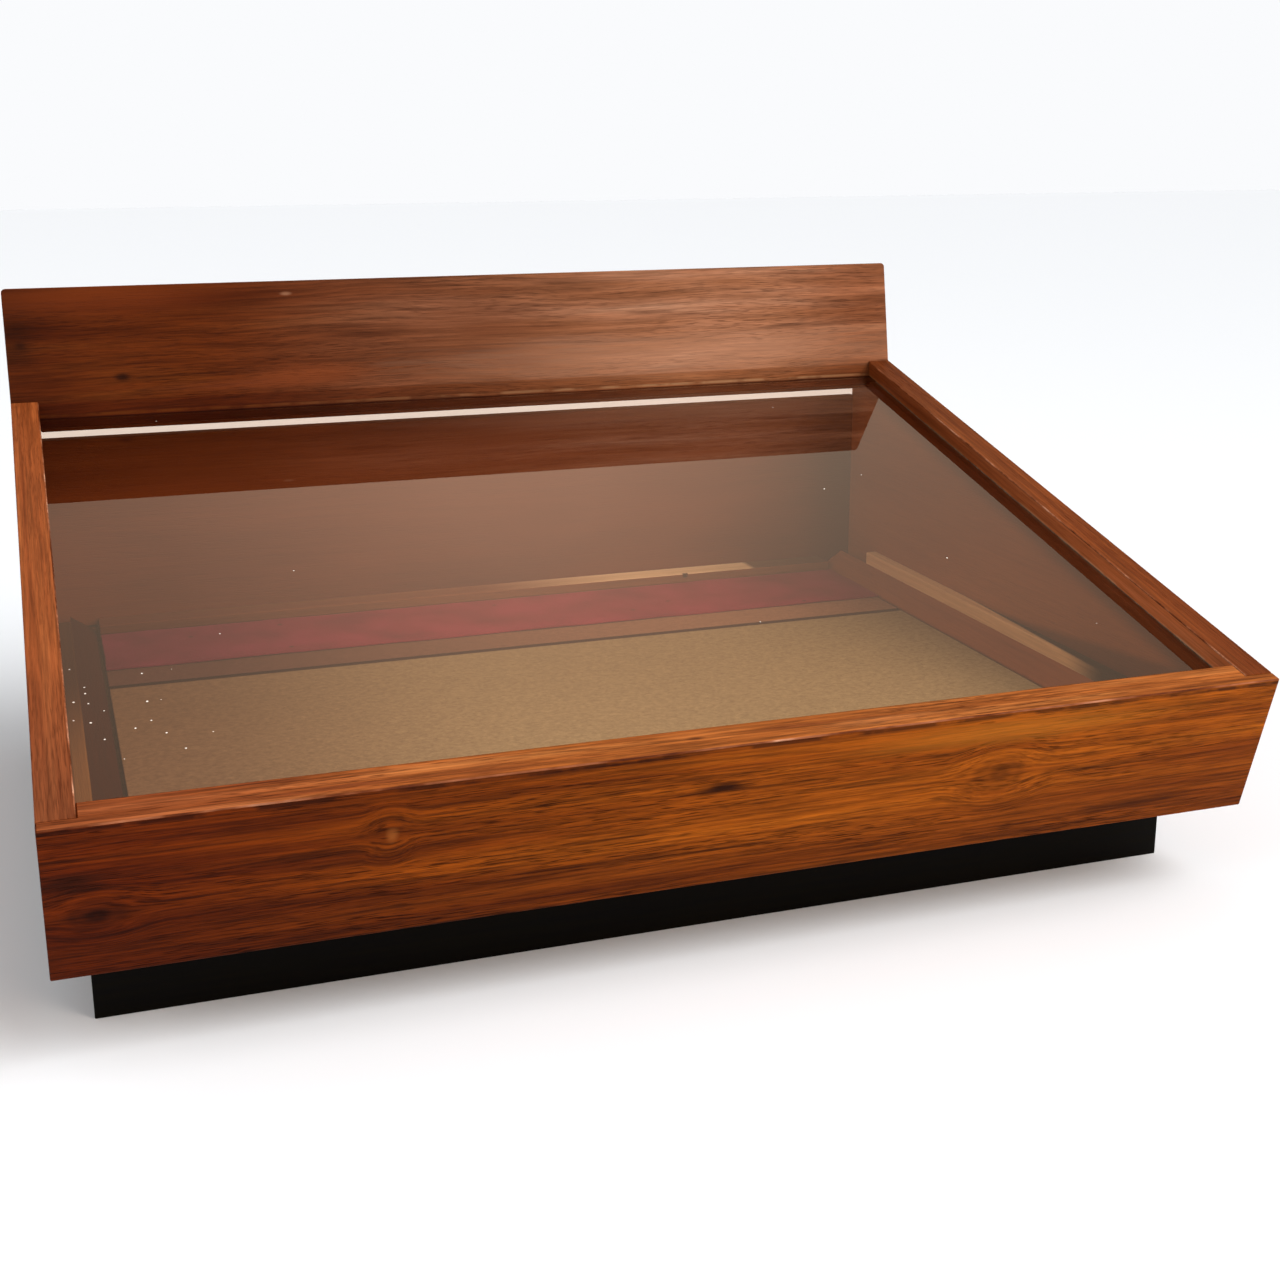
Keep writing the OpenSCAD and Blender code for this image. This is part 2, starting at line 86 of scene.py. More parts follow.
# Board sizes
SIDE_T = RIGHT - INNER
FRONT_T = 13.4 * MM
TONGUE_T = 5 * MM
HEADER_T = 12.4 * MM
HEADER_DROP = 13 * MM
HEADER_RISE = 53.3 * MM
HORN_RISE = 34 * MM
GLASS_DROP = 7.5 * MM
GLASS_T = 3 * MM
GROOVE_D = 4 * MM
GROOVE_RUN = 348.78 * MM
REBATE_D = 4 * MM
SIDE_BLANK_TOP = 220 * MM
GAP = 0.2 * MM
SAW_SPARE = 2 * MM
# How far a cutter reaches past the boards: in front of them, behind them and above them
CUT_FRONT, CUT_BACK, CUT_UP = 100 * MM, 500 * MM, 200 * MM

# Holes: radius, depth and, where a screw's head is sunk, radius of the mouth
HEADER_SCREW = (1.9 * MM, 20.1 * MM, 3.7 * MM)
HINGE_SCREW = (1.4 * MM, 6.9 * MM)
BUTTON_SCREW = (1.9 * MM, 7 * MM)
BUTTON_BORE = (1.85 * MM, 4 * MM)
KNOB_STUD = (2.6 * MM, 6.1 * MM)
PLINTH_SCREW = (1.9 * MM, 8.1 * MM)
PLINTH_HEAD_R = 3.6 * MM
# Heights of the header's screws along its face, from the side tops
HEADER_SCREWS_AT = (9 * MM - HEADER_DROP, HORN_RISE - 10 * MM)
# The hinge screws: from one to the next, and from the pin
HINGE_SCREW_STEP, HINGE_SCREW_RISE = 38 / 3 * MM, 10.2 * MM

# How finely wood's patterns run, in waves a metre along the grain and twice across it. The
# grain drifts over 200 mm along a board and 60 mm across it. Growth lines are 1.2 mm apart and
# veins 3 mm, and pores are 9 mm long, 0.4 mm apart and crowded in bands 12 mm wide.
GRAIN_DRIFT, GROWTH_LINES, VEINS = (5, 16, 16), (22, 850, 850), (9, 330, 330)
PORES, PORE_BANDS = (110, 2300, 2300), (9, 85, 85)


def deselect():
    bpy.ops.object.select_all(action="DESELECT")


def choose(piece):
    deselect()
    piece.select_set(True)
    bpy.context.view_layer.objects.active = piece


@contextlib.contextmanager
def editing(piece):
    choose(piece)
    bpy.ops.object.mode_set(mode="EDIT")
    bpy.ops.mesh.select_all(action="DESELECT")
    yield bmesh.from_edit_mesh(piece.data)
    bpy.ops.object.mode_set(mode="OBJECT")


def named(name):
    """The primitive just added, under its name, with its place and size in its mesh."""
    piece = bpy.context.object
    piece.name = piece.data.name = name
    bpy.ops.object.transform_apply(location=True, rotation=True, scale=True)
    return piece


def block(name, low, high):
    """A block of stock between two corners."""
    deselect()
    low, high = Vector(low), Vector(high)
    bpy.ops.mesh.primitive_cube_add(size=1, location=(low + high) / 2, scale=high - low)
    return named(name)


def stock(name, node):
    """A block that fills the box of a CAD node."""
    return block(name, *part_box(node))


def settle(piece, at, turn):
    """Turns a piece about the X axis and puts it in its place."""
    choose(piece)
    piece.rotation_euler = (turn, 0, 0)
    piece.location = at
    bpy.ops.object.transform_apply(location=True, rotation=True, scale=True)
    return piece


def saw(piece, point, outward):
    """Saws off what lies outside a plane."""
    with editing(piece):
        bpy.ops.mesh.select_all(action="SELECT")
        bpy.ops.mesh.bisect(
            plane_co=point, plane_no=Vector(outward).normalized(), use_fill=True,
            clear_outer=True,
        )


def finish_with(piece, kind, **settings):
    """Adds a modifier and applies it."""
    choose(piece)
    modifier = piece.modifiers.new(kind.lower(), kind)
    for key, value in settings.items():
        setattr(modifier, key, value)
    bpy.ops.object.modifier_apply(modifier=modifier.name)


def ease(piece, width, segments=2):
    """Rounds off every sharp edge a little, as sandpaper does."""
    finish_with(
        piece, "BEVEL", width=width, segments=segments, limit_method="ANGLE",
        angle_limit=math.radians(30), use_clamp_overlap=True,
    )


def carve(piece, *cutters):
    """Cuts the cutters' shapes out of a piece."""
    for cutter in cutters:
        finish_with(piece, "BOOLEAN", object=cutter, operation="DIFFERENCE", solver="EXACT")
    for cutter in cutters:
        bpy.data.objects.remove(cutter)


def drill(at, radius, depth, mouth=0.0, aim=INTO_BACK):
    """A drill for a hole that runs in along aim from a place, with its countersink."""
    turn = aim.to_track_quat("Z", "Y").to_euler()
    deselect()
    bpy.ops.mesh.primitive_cylinder_add(
        vertices=32, radius=radius, depth=depth + SAW_SPARE,
        location=Vector(at) + aim * (depth - SAW_SPARE) / 2, rotation=turn,
    )
    bits = [named("drill")]
    if mouth:
        sink = mouth - radius
        deselect()
        bpy.ops.mesh.primitive_cone_add(
            vertices=32, radius1=mouth + SAW_SPARE, radius2=radius, depth=sink + SAW_SPARE,
            location=Vector(at) + aim * (sink - SAW_SPARE) / 2, rotation=turn,
        )
        bits.append(named("countersink"))
    return bits


def lathe(name, at, profile):
    """A turned piece that stands out of the back: each ring of the profile is a distance out
    and a radius, and is drawn out of the one before it."""
    at = Vector(at)
    (reach, radius), *rings = profile
    deselect()
    bpy.ops.mesh.primitive_circle_add(
        vertices=48, radius=radius, fill_type="NGON", location=at - INTO_BACK * reach,
        rotation=(math.radians(90), 0, 0),
    )
    piece = named(name)
    with editing(piece):
        bpy.ops.mesh.select_all(action="SELECT")
        for next_reach, next_radius in rings:
            bpy.ops.mesh.extrude_region_move(
                TRANSFORM_OT_translate={"value": (0, next_reach - reach, 0)}
            )
            share = next_radius / radius
            bpy.ops.transform.resize(
                value=(share, 1, share), center_override=at - INTO_BACK * next_reach
            )
            reach, radius = next_reach, next_radius
        bpy.ops.mesh.select_all(action="SELECT")
        bpy.ops.mesh.normals_make_consistent(inside=False)
    return piece


def middle(node):
    """The middle of a CAD node's box."""
    low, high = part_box(node)
    return (low + high) / 2


def fit(piece, finish, node, body="case"):
    """Gives a piece its finish, and lets it stand for its CAD node and move with its body."""
    piece.data.materials.clear()
    piece.data.materials.append(finish)
    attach(piece, body)
    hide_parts(node)
    return piece


def paint(code):
    """An sRGB hex colour as linear numbers."""
    parts = [int(code[i : i + 2], 16) / 255 for i in (1, 3, 5)]
    return [c / 12.92 if c <= 0.04045 else ((c + 0.055) / 1.055) ** 2.4 for c in parts] + [1]


def add(tree, kind, inputs=(), stops=(), **settings):
    """Adds a node with its settings. Inputs are values, or nodes and sockets to link."""
    node = tree.nodes.new("ShaderNode" + kind)
    for key, value in settings.items():
        setattr(node, key, value)
    sockets = [socket for socket in node.inputs if socket.enabled]
    for key, value in dict(inputs).items():
        socket = sockets[key] if isinstance(key, int) else next(
            s for s in sockets if s.name == key
        )
        if isinstance(value, bpy.types.Node):
            value = next(o for o in value.outputs if o.enabled)
        if isinstance(value, bpy.types.NodeSocket):
            tree.links.new(value, socket)
        else:
            socket.default_value = value
    if stops:
        elements = node.color_ramp.elements
        elements[0].position, elements[0].color = stops[0][0], paint(stops[0][1])
        elements[1].position, elements[1].color = stops[-1][0], paint(stops[-1][1])
        for position, code in stops[1:-1]:
            elements.new(position).color = paint(code)
    return node


def material(name, **shine):
    """A new material's tree and its surface shader, with the sockets that stay the same."""
    made = bpy.data.materials.new(name)
    made.use_nodes = True
    tree = made.node_tree
    surface = tree.nodes["Principled BSDF"]
    for key, value in shine.items():
        surface.inputs[key.replace("_", " ").title().replace("Ior", "IOR")].default_value = value
    return made, tree, surface


def tint(tree, colour, fades):
    """Shades a colour across a piece. Each fade is a direction, the distances along it in
    millimetres where the shade starts and where it is full, and the shade."""
    place = add(tree, "TexCoord").outputs["Object"]
    for way, start, full, code in fades:
        along = add(tree, "VectorMath", {0: place, 1: way}, operation="DOT_PRODUCT")
        along = add(
            tree, "MapRange",
            {"Value": along.outputs["Value"], "From Min": start * MM, "From Max": full * MM,
             "To Min": 0.0, "To Max": 1.0},
            interpolation_type="SMOOTHSTEP",
        )
        colour = add(
            tree, "Mix", {"Factor": along, "A": colour, "B": paint(code)},
            data_type="RGBA", blend_type="MULTIPLY",
        )
    return colour


def bend_round(tree, place, lay, knots):
    """Bends the grain round knots. Gives the bent grain, and how far off each knot is, in its
    own half lengths, with its depth of tone."""
    hearts = []
    for x, z, half_l, half_h, depth in knots:
        away = add(tree, "VectorMath", {0: place, 1: (x * MM, 0, z * MM)}, operation="SUBTRACT")
        away = add(
            tree, "VectorMath", {0: away, 1: (1 / half_l / MM, 0, 1 / half_h / MM)},
            operation="MULTIPLY",
        )
        reach = add(tree, "VectorMath", {0: away}, operation="LENGTH").outputs["Value"]
        near = add(
            tree, "MapRange",
            {"Value": reach, "From Min": 3.2, "From Max": 0.4, "To Min": 0.0, "To Max": 1.0},
            interpolation_type="SMOOTHSTEP",
        )
        up = add(tree, "SeparateXYZ", {"Vector": away}).outputs["Z"]
        push = add(tree, "Math", {0: near, 1: up}, operation="MULTIPLY")
        push = add(tree, "Math", {0: push, 1: -0.75 * half_h * MM}, operation="MULTIPLY")
        lay = add(
            tree, "VectorMath", {0: lay, 1: add(tree, "CombineXYZ", {"Z": push})},
            operation="ADD",
        )
        hearts.append((reach, depth))
    return lay, hearts


def draw_knots(tree, colour, hearts, code):
    """Draws the dark rings of each knot."""
    for reach, depth in hearts:
        rings = add(tree, "Math", {0: reach, 1: 7.0}, operation="MULTIPLY")
        rings = add(tree, "Math", {0: rings}, operation="SINE")
        rings = add(
            tree, "MapRange",
            {"Value": rings, "From Min": -1.0, "From Max": 1.0, "To Min": 0.45, "To Max": 1.0},
        )
        core = add(
            tree, "MapRange",
            {"Value": reach, "From Min": 1.5, "From Max": 0.5, "To Min": 0.0, "To Max": depth},
            interpolation_type="SMOOTHSTEP",
        )
        core = add(tree, "Math", {0: core, 1: rings}, operation="MULTIPLY")
        colour = add(
            tree, "Mix", {"Factor": core, "A": colour, "B": paint(code)}, data_type="RGBA"
        )
    return colour


def draw_dust_and_shade_lines(tree, place, colour, marks):
    """Draws lines along planes, broken up as on a used piece: dirt and wear on some boards,
    painted shade on others.
    """
    for way, level, half, code in marks:
        off = add(tree, "VectorMath", {0: place, 1: way}, operation="DOT_PRODUCT")
        off = add(tree, "Math", {0: off.outputs["Value"], 1: level * MM}, operation="SUBTRACT")
        off = add(tree, "Math", {0: off}, operation="ABSOLUTE")
        streak = add(
            tree, "MapRange",
            {"Value": off, "From Min": half * MM, "From Max": half * 0.4 * MM, "To Min": 0.0,
             "To Max": 0.7},
        )
        breakup = add(tree, "TexNoise", {"Vector": place, "Scale": 70.0, "Detail": 3.0})
        breakup = add(
            tree, "MapRange",
            {"Value": breakup, "From Min": 0.42, "From Max": 0.55, "To Min": 0.1, "To Max": 1.0},
        )
        streak = add(tree, "Math", {0: streak, 1: breakup}, operation="MULTIPLY")
        colour = add(
            tree, "Mix", {"Factor": streak, "A": colour, "B": paint(code)}, data_type="RGBA"
        )
    return colour


def draw_spots(tree, place, lines, colour, stain):
    """Draws spots whose edges are ragged along the growth lines."""
    for x, y, z, half_l, half_h, strength, code in stain:
        away = add(
            tree, "VectorMath", {0: place, 1: (x * MM, y * MM, z * MM)}, operation="SUBTRACT"
        )
        away = add(
            tree, "VectorMath",
            {0: away, 1: (1 / half_l / MM, 1 / half_h / MM, 1 / half_h / MM)},
            operation="MULTIPLY",
        )
        away = add(tree, "VectorMath", {0: away}, operation="LENGTH").outputs["Value"]
        ragged = add(tree, "Math", {0: lines, 1: 0.9}, operation="MULTIPLY")
        away = add(tree, "Math", {0: away, 1: ragged}, operation="ADD")
        spot = add(
            tree, "MapRange",
            {"Value": away, "From Min": 1.45, "From Max": 0.6, "To Min": 0.0,
             "To Max": strength},
            interpolation_type="SMOOTHSTEP",
        )
        colour = add(
            tree, "Mix", {"Factor": spot, "A": colour, "B": paint(code)}, data_type="RGBA"
        )
    return colour


def timber(
    name, tones, pore, roughness, grain=(280, 16), turn=(0, 0, 0), wander=5,
    shift=(0, 0, 0), knots=(), pore_share=0.5, fades=(), stain=(), specular=0.3, lined=0.29,
    marks=(), veined=0.3,
):
    """Wood, planed and finished. Lengths are in millimetres.

    tones run from the darkest to the palest growth, and pore is the colour in its pores.
    roughness is its finish's, and specular is how strongly the finish mirrors.
    grain is how long and how wide its bands are, wander how far they stray from straight.
    turn and shift lay a board's own cut of the grain on it.
    pore_share, lined and veined are how strongly pores, growth lines and dark veins show.
    knots are (x, z, half length, half height, depth of tone) on a board that faces the front.
    stain is the same for spots: (x, y, z, half length, half height, share, colour).
    fades are tint's. Lines of dirt, wear or painted shade are each (direction, distance along it,
    half width, colour)."""
    made, tree, surface = material(name, specular_ior_level=specular)
    place = add(tree, "TexCoord").outputs["Object"]
    board = add(tree, "Mapping", {"Vector": place, "Rotation": turn, "Location": shift})
    slow = add(tree, "VectorMath", {0: board, 1: GRAIN_DRIFT}, operation="MULTIPLY")
    drift = add(tree, "TexNoise", {"Vector": slow, "Scale": 1.0, "Detail": 2.0})
    drift = add(tree, "Math", {0: drift, 1: 0.5}, operation="SUBTRACT")
    drift = add(tree, "Math", {0: drift, 1: wander * MM}, operation="MULTIPLY")
    drift = add(tree, "CombineXYZ", {"Y": drift, "Z": drift})
    lay = add(tree, "VectorMath", {0: board, 1: drift}, operation="ADD")
    lay, hearts = bend_round(tree, place, lay, knots)

    length, width = grain
    bands = add(
        tree, "VectorMath", {0: lay, 1: (1 / length / MM, 1 / width / MM, 1 / width / MM)},
        operation="MULTIPLY",
    )
    bands = add(
        tree, "TexNoise", {"Vector": bands, "Scale": 1.0, "Detail": 3.0, "Roughness": 0.6}
    )
    colour = add(
        tree, "ValToRGB", {"Fac": bands},
        stops=[(0.3 + 0.4 * i / (len(tones) - 1), tone) for i, tone in enumerate(tones)],
    )

    lines = add(tree, "VectorMath", {0: lay, 1: GROWTH_LINES}, operation="MULTIPLY")
    lines = add(
        tree, "TexNoise", {"Vector": lines, "Scale": 1.0, "Detail": 4.0, "Roughness": 0.7}
    )
    depth = add(
        tree, "MapRange",
        {"Value": lines, "From Min": 0.36, "From Max": 0.64, "To Min": 0.96 - lined,
         "To Max": 0.96 + lined},
    )
    colour = add(
        tree, "Mix", {"Factor": 1.0, "A": colour, "B": depth},
        data_type="RGBA", blend_type="MULTIPLY",
    )

    # Veins: long thin streaks where the growth is dense and dark
    veins = add(tree, "VectorMath", {0: lay, 1: VEINS}, operation="MULTIPLY")
    veins = add(
        tree, "TexNoise", {"Vector": veins, "Scale": 1.0, "Detail": 4.0, "Roughness": 0.65}
    )
    veins = add(
        tree, "MapRange",
        {"Value": veins, "From Min": 0.52, "From Max": 0.7, "To Min": 0.0, "To Max": veined},
    )
    colour = add(
        tree, "Mix", {"Factor": veins, "A": colour, "B": paint(pore)}, data_type="RGBA"
    )

    # Pores: short dark dashes, thicker in some bands than in others
    dashes = add(tree, "VectorMath", {0: lay, 1: PORES}, operation="MULTIPLY")
    dashes = add(tree, "TexNoise", {"Vector": dashes, "Scale": 1.0, "Detail": 1.0})
    dashes = add(
        tree, "MapRange",
        {"Value": dashes, "From Min": 0.52, "From Max": 0.66, "To Min": 0.0, "To Max": 1.0},
    )
    crowd = add(tree, "VectorMath", {0: lay, 1: PORE_BANDS}, operation="MULTIPLY")
    crowd = add(tree, "TexNoise", {"Vector": crowd, "Scale": 1.0, "Detail": 2.0})
    crowd = add(
        tree, "MapRange",
        {"Value": crowd, "From Min": 0.38, "From Max": 0.62, "To Min": 0.25, "To Max": 1.0},
    )
    dashes = add(tree, "Math", {0: dashes, 1: crowd}, operation="MULTIPLY")
    share = add(tree, "Math", {0: dashes, 1: pore_share}, operation="MULTIPLY")
    colour = add(
        tree, "Mix", {"Factor": share, "A": colour, "B": paint(pore)}, data_type="RGBA"
    )

    colour = draw_knots(tree, colour, hearts, pore)
    colour = draw_dust_and_shade_lines(tree, place, colour, marks)
    colour = tint(tree, colour, fades)
    colour = draw_spots(tree, place, lines, colour, stain)
    tree.links.new(next(o for o in colour.outputs if o.enabled), surface.inputs["Base Color"])
    rough = add(tree, "Math", {0: share, 1: 0.25, 2: roughness}, operation="MULTIPLY_ADD")
    tree.links.new(rough.outputs[0], surface.inputs["Roughness"])
    dip = add(tree, "Math", {0: dashes, 1: -0.7, 2: lines}, operation="MULTIPLY_ADD")
    relief = add(tree, "Bump", {"Height": dip, "Strength": 0.5, "Distance": 0.2 * MM})
    tree.links.new(relief.outputs[0], surface.inputs["Normal"])
    return made


# Directions that shades run along. The last two are turned a little, so that one shade runs
# out along the right batten and the other climbs the side boards towards the front.
TO_RIGHT, TO_LEFT, TO_BACK, TO_FRONT = (1, 0, 0), (-1, 0, 0), (0, 1, 0), (0, -1, 0)
TO_BACK_RIGHT, TO_BACK_LEFT = (0.707, 0.707, 0), (-0.707, 0.707, 0)
TO_FRONT_LEFT, TO_FLOOR = (-0.707, -0.707, 0), (0, 0, -1)
OFF_SLOPE, INTO_SLOPE = tuple(TOPS), tuple(-TOPS)
PAST_BATTEN, DOWN_FRONT = (0.99871, -0.0507, 0), (0, -0.1, -0.995)
# How far along OFF_SLOPE the side boards' tops and the glass lie, in millimetres
TOP_LEVEL = FRONT_EDGE.dot(TOPS) / MM
GLASS_LEVEL = TOP_LEVEL - GLASS_DROP / MM

# Walnut veneer under a worn satin lacquer: orange-brown, with fine dark pores and long grain,
# darker along its foot. Painted shade darkens it to the left and in a line under the arris,
# and a painted pool of light lies across its upper right
front_walnut = timber(
    "walnut_front", ["#642b04", "#7c3a06", "#90480a", "#a2540e"], "#220b01", 0.55,
    grain=(340, 11), wander=3, pore_share=0.75, lined=0.42, specular=0.05, veined=0.7,
    knots=[(-214, 58, 8, 5, 0.75), (112, 65.5, 9, 6.5, 0.55), (-120, 74, 4, 5, 0.0)],
    stain=[
        (-0.5, -186, 76, 15, 3.6, 0.95, "#1e0801"), (-134, -178, 43, 50, 2.2, 0.5, "#2a0e02"),
        (-53, -176, 39, 14, 1.5, 0.5, "#2a0e02"), (120, -176, 40, 5, 2, 0.35, "#2a0e02"),
        (-222, -184, 72, 16, 7, 0.6, "#1a0802"), (-119, -185, 74, 3, 4, 0.3, "#b06a30"),
        # The wide pale spot across the upper right is a painted pool of light
        (120, -187, 85, 90, 9, 0.35, "#b66f20"),
    ],
    # Painted shade to the left, and darker along the foot
    fades=[(TO_LEFT, -60, 230, "#a88340"), (TO_FLOOR, -60, -46, "#d4cdde")],
    # A dark line just under the arris: painted shade
    marks=[(OFF_SLOPE, TOP_LEVEL - 1.5, 1.2, "#2c1004")],
)
# The solid lipping along the front board's top: pinker and finer, rubbed pale by hands
lip_walnut = timber(
    "walnut_lipping", ["#82421c", "#96501e", "#a45c28", "#b06a32"], "#4a1e08", 0.5,
    grain=(90, 5), wander=2, shift=(0.4, 1.2, 0.8), pore_share=0.75, lined=0.45, specular=0.1,
    fades=[(TO_LEFT, 40, 215, "#dccce8")],
    stain=[
        (-88, -186, 94, 25, 12, 0.3, "#7a3c1a"), (-11, -184, 94.5, 5, 1.5, 0.7, "#3a1608"),
        (60, -186, 94, 30, 3, 0.2, "#c08050"),
    ],
)
# The arris in front of it, where handling has broken the lacquer into a pale, patchy line, with a
# painted highlight along it
arris_wear_and_highlight = timber(
    "arris_wear_and_highlight", ["#4a2010", "#6a3418", "#9a5c3c", "#c89070"], "#3a1608", 0.6, grain=(25, 25),
    wander=0, pore_share=0.3, specular=0.1,
)
# The side boards' tops: the same wood, planed down the slope and rubbed by hands
rail_walnut = timber(
    "walnut_rails", ["#7e3c1a", "#8b4620", "#985026", "#a45b2e"], "#4a1a06", 0.45,
    grain=(260, 5), turn=(-SLOPE, 0, math.radians(90)), wander=2, pore_share=0.5, lined=0.3,
    fades=[
        (TO_RIGHT, -150, 225, "#dcd3bc"), (TO_FRONT, 60, 180, "#f0f0fc"),
        (TO_BACK_RIGHT, 100, 264, "#d2cfd9"), (TO_FRONT_LEFT, 200, 290, "#e8ebfa"),
    ],
    specular=0.1, veined=0.35,
)
# The side boards' outer faces: the same wood, its figure open and its finish dry
side_walnut = timber(
    "walnut_sides", ["#6e3410", "#824218", "#945020", "#a25c28"], "#2e1004", 0.5,
    grain=(300, 13), turn=(0, 0, math.radians(90)), wander=6, shift=(0.2, 0.6, 1.4),
    pore_share=0.6, lined=0.3, specular=0.1, veined=0.5,
)
# Their inner faces above the glass: as pale as the tops at the front, darker towards the back,
# with a pale line along the glass
edge_walnut = timber(
    "walnut_above_glass", ["#b06034", "#bb683c", "#c67448"], "#5a2a10", 0.5, grain=(260, 5),
    turn=(-SLOPE, 0, math.radians(90)), wander=2, pore_share=0.4, lined=0.2, specular=0.1,
    fades=[(TO_BACK, -130, 110, "#a79579")], veined=0.3,
    marks=[(OFF_SLOPE, GLASS_LEVEL + 0.5, 0.7, "#c08c68")],
)
# And below it: smooth with polish, in shade along the glass and down by the floor
inner_walnut = timber(
    "walnut_inside", ["#7e421c", "#894b22", "#945527", "#9d5e2f"], "#5a2a10", 0.5,
    grain=(300, 60), turn=(0, 0, math.radians(90)), wander=2, pore_share=0.12, lined=0.06,
    fades=[
        (OFF_SLOPE, GLASS_LEVEL - 16, GLASS_LEVEL - 7, "#a08c78"),
        (DOWN_FRONT, -71.5, -67, "#b8aca0"),
    ],
    specular=0.15, veined=0.15,
)
# Veneer on the header: flatter and browner. Painted shade makes it darker and redder to the left
# and darkens its ends and its foot below the level of the side tops, and a painted sheen lies low
# across its middle and right. A pale broken line runs along the glass, and below it the header is
# in deep shade
header_walnut = timber(
    "walnut_header", ["#7a482c", "#905c3d", "#a16c4e", "#ad7d60"], "#3c1e10", 0.42,
    grain=(190, 16), wander=9, shift=(0.7, 0.1, 0.3), pore_share=0.5, lined=0.25,
    specular=0.12, veined=0.5,
    # The long pale spot low across the middle and right is a painted sheen
    stain=[
        (-178.6, 150, 184.5, 5, 3, 0.8, "#1c0a04"), (-223.5, 152, 201, 4, 3, 0.7, "#1c0a04"),
        (-98, 156, 221, 4, 1.4, 0.4, "#b08060"), (-60, 152, 200, 30, 2, 0.5, "#3a1a0c"),
        (90, 153, 206, 26, 1.6, 0.45, "#3a1a0c"), (170, 152, 196, 20, 1.6, 0.4, "#3a1a0c"),
        (110, 149, 184, 190, 15, 0.32, "#c08e70"), (-120, 150, 178, 60, 4, 0.4, "#7a3a1c"),
        (-5, 152, 204, 50, 15, 0.4, "#744228"), (-226, 151, 203, 12, 18, 0.5, "#240c02"),
        (-185, 157, 222, 80, 12, 0.45, "#783410"), (-90, 149, 182, 45, 8, 0.4, "#8b4420"),
    ],
    fades=[
        (TO_LEFT, -150, 150, "#93652c"), (TO_LEFT, 185, 225, "#d8d0c8"),
        (TO_RIGHT, 150, 220, "#e0cfc0"),
        (INTO_SLOPE, 0.5 - TOP_LEVEL, 1.5 - TOP_LEVEL, "#dccab0"),
        (INTO_SLOPE, -GLASS_LEVEL - 0.3, 0.3 - GLASS_LEVEL, "#90785f"),
    ],
    marks=[(OFF_SLOPE, GLASS_LEVEL + 1.0, 0.8, "#b89478")],
)
# The header's other faces: the same wood with no dust or shade
header_back_walnut = timber(
    "walnut_header_back", ["#5a2e18", "#6a3a20", "#784628", "#845032"], "#2c1208", 0.45,
    grain=(190, 16), wander=9, shift=(0.9, 0.3, 0.1), pore_share=0.5, lined=0.25,
    specular=0.12, veined=0.4,
)
# The door and the rails: the same wood, plain and thinly stained, with little polish, and in
# painted shade at their right end under the header
back_walnut = timber(
    "walnut_back", ["#5a3018", "#68391e", "#744226"], "#40200c", 0.6, grain=(260, 60),
    shift=(1.3, 0.4, 0.2), pore_share=0.1, lined=0.06, specular=0.1, veined=0.15,
    fades=[(TO_RIGHT, 180, 214, "#b09890")],
)
# The beads: the same wood, stained, with little finish, plain and dull; painted shade darkens the
# left one
bead_stain_and_shade = timber(
    "bead_stain_and_shade", ["#8a4c26", "#95552b", "#9e5e32"], "#5a2e14", 0.7, grain=(260, 30),
    turn=(0, 0, math.radians(90)), shift=(0.3, 1.7, 0.9), pore_share=0.15, lined=0.08,
    specular=0.1, fades=[(TO_LEFT, -100, 200, "#5e462a")],
)
# Pine with nothing on it: pale, dry and slightly furry
bare_pine = timber(
    "bare_pine", ["#8a6a3c", "#a08050", "#b09060"], "#6a4a28", 0.8, grain=(320, 9),
    shift=(2.1, 0.9, 0.6), pore_share=0.15,
)
# The battens' pine, yellowed. Painted shade darkens the left one, most to the back, and the right
# one along the wall towards the front.
batten_pine = timber(
    "batten_pine", ["#d8b488", "#e2bf92", "#eac89c"], "#b08050", 0.8, grain=(320, 12),
    turn=(0, 0, math.radians(90)), shift=(2.1, 0.9, 0.6), pore_share=0.1, lined=0.08,
    fades=[
        (TO_LEFT, -100, 200, "#8f7957"), (TO_BACK_LEFT, 81, 180, "#806a4c"),
        (PAST_BATTEN, 214.6, 216.4, "#38342c"),
    ],
    specular=0.1,
)
# The door's stop: pine, stained to go with the back, and in painted shade: darker than its top,
# and darker still to the left
stop_pine = timber(
    "stop_pine", ["#6f4325", "#7c4e2e", "#875836"], "#4c2a14", 0.7, grain=(300, 12),
    shift=(1.1, 0.5, 2.6), pore_share=0.15, lined=0.1, fades=[(TO_LEFT, 0, 200, "#c0b0b0")],
    specular=0.1,
)
# The stop's upper side: the same kind of pine painted pale as if lit from above, palest round the
# nick, with painted shade to the left and at the right end
stop_top_painted_lit = timber(
    "stop_top_painted_lit", ["#c8b08c", "#d4bd9a", "#dcc6a4"], "#6c4a30", 0.8, grain=(300, 12),
    shift=(1.1, 0.5, 2.6), pore_share=0.15, lined=0.1, specular=0.1, veined=0.2,
    fades=[
        (TO_LEFT, -90, 10, "#956a52"), (TO_LEFT, 0, 200, "#c0b0b0"),
        (TO_RIGHT, 150, 154, "#705c4c"),
    ],
)
# Birch plywood's face: pale, closely figured and dull
birch_ply = timber(
    "birch_plywood", ["#704e28", "#805c34", "#8c6a3e"], "#5c4020", 0.75, grain=(400, 40),
    shift=(3.1, 0.2, 1.6), pore_share=0.2,
)


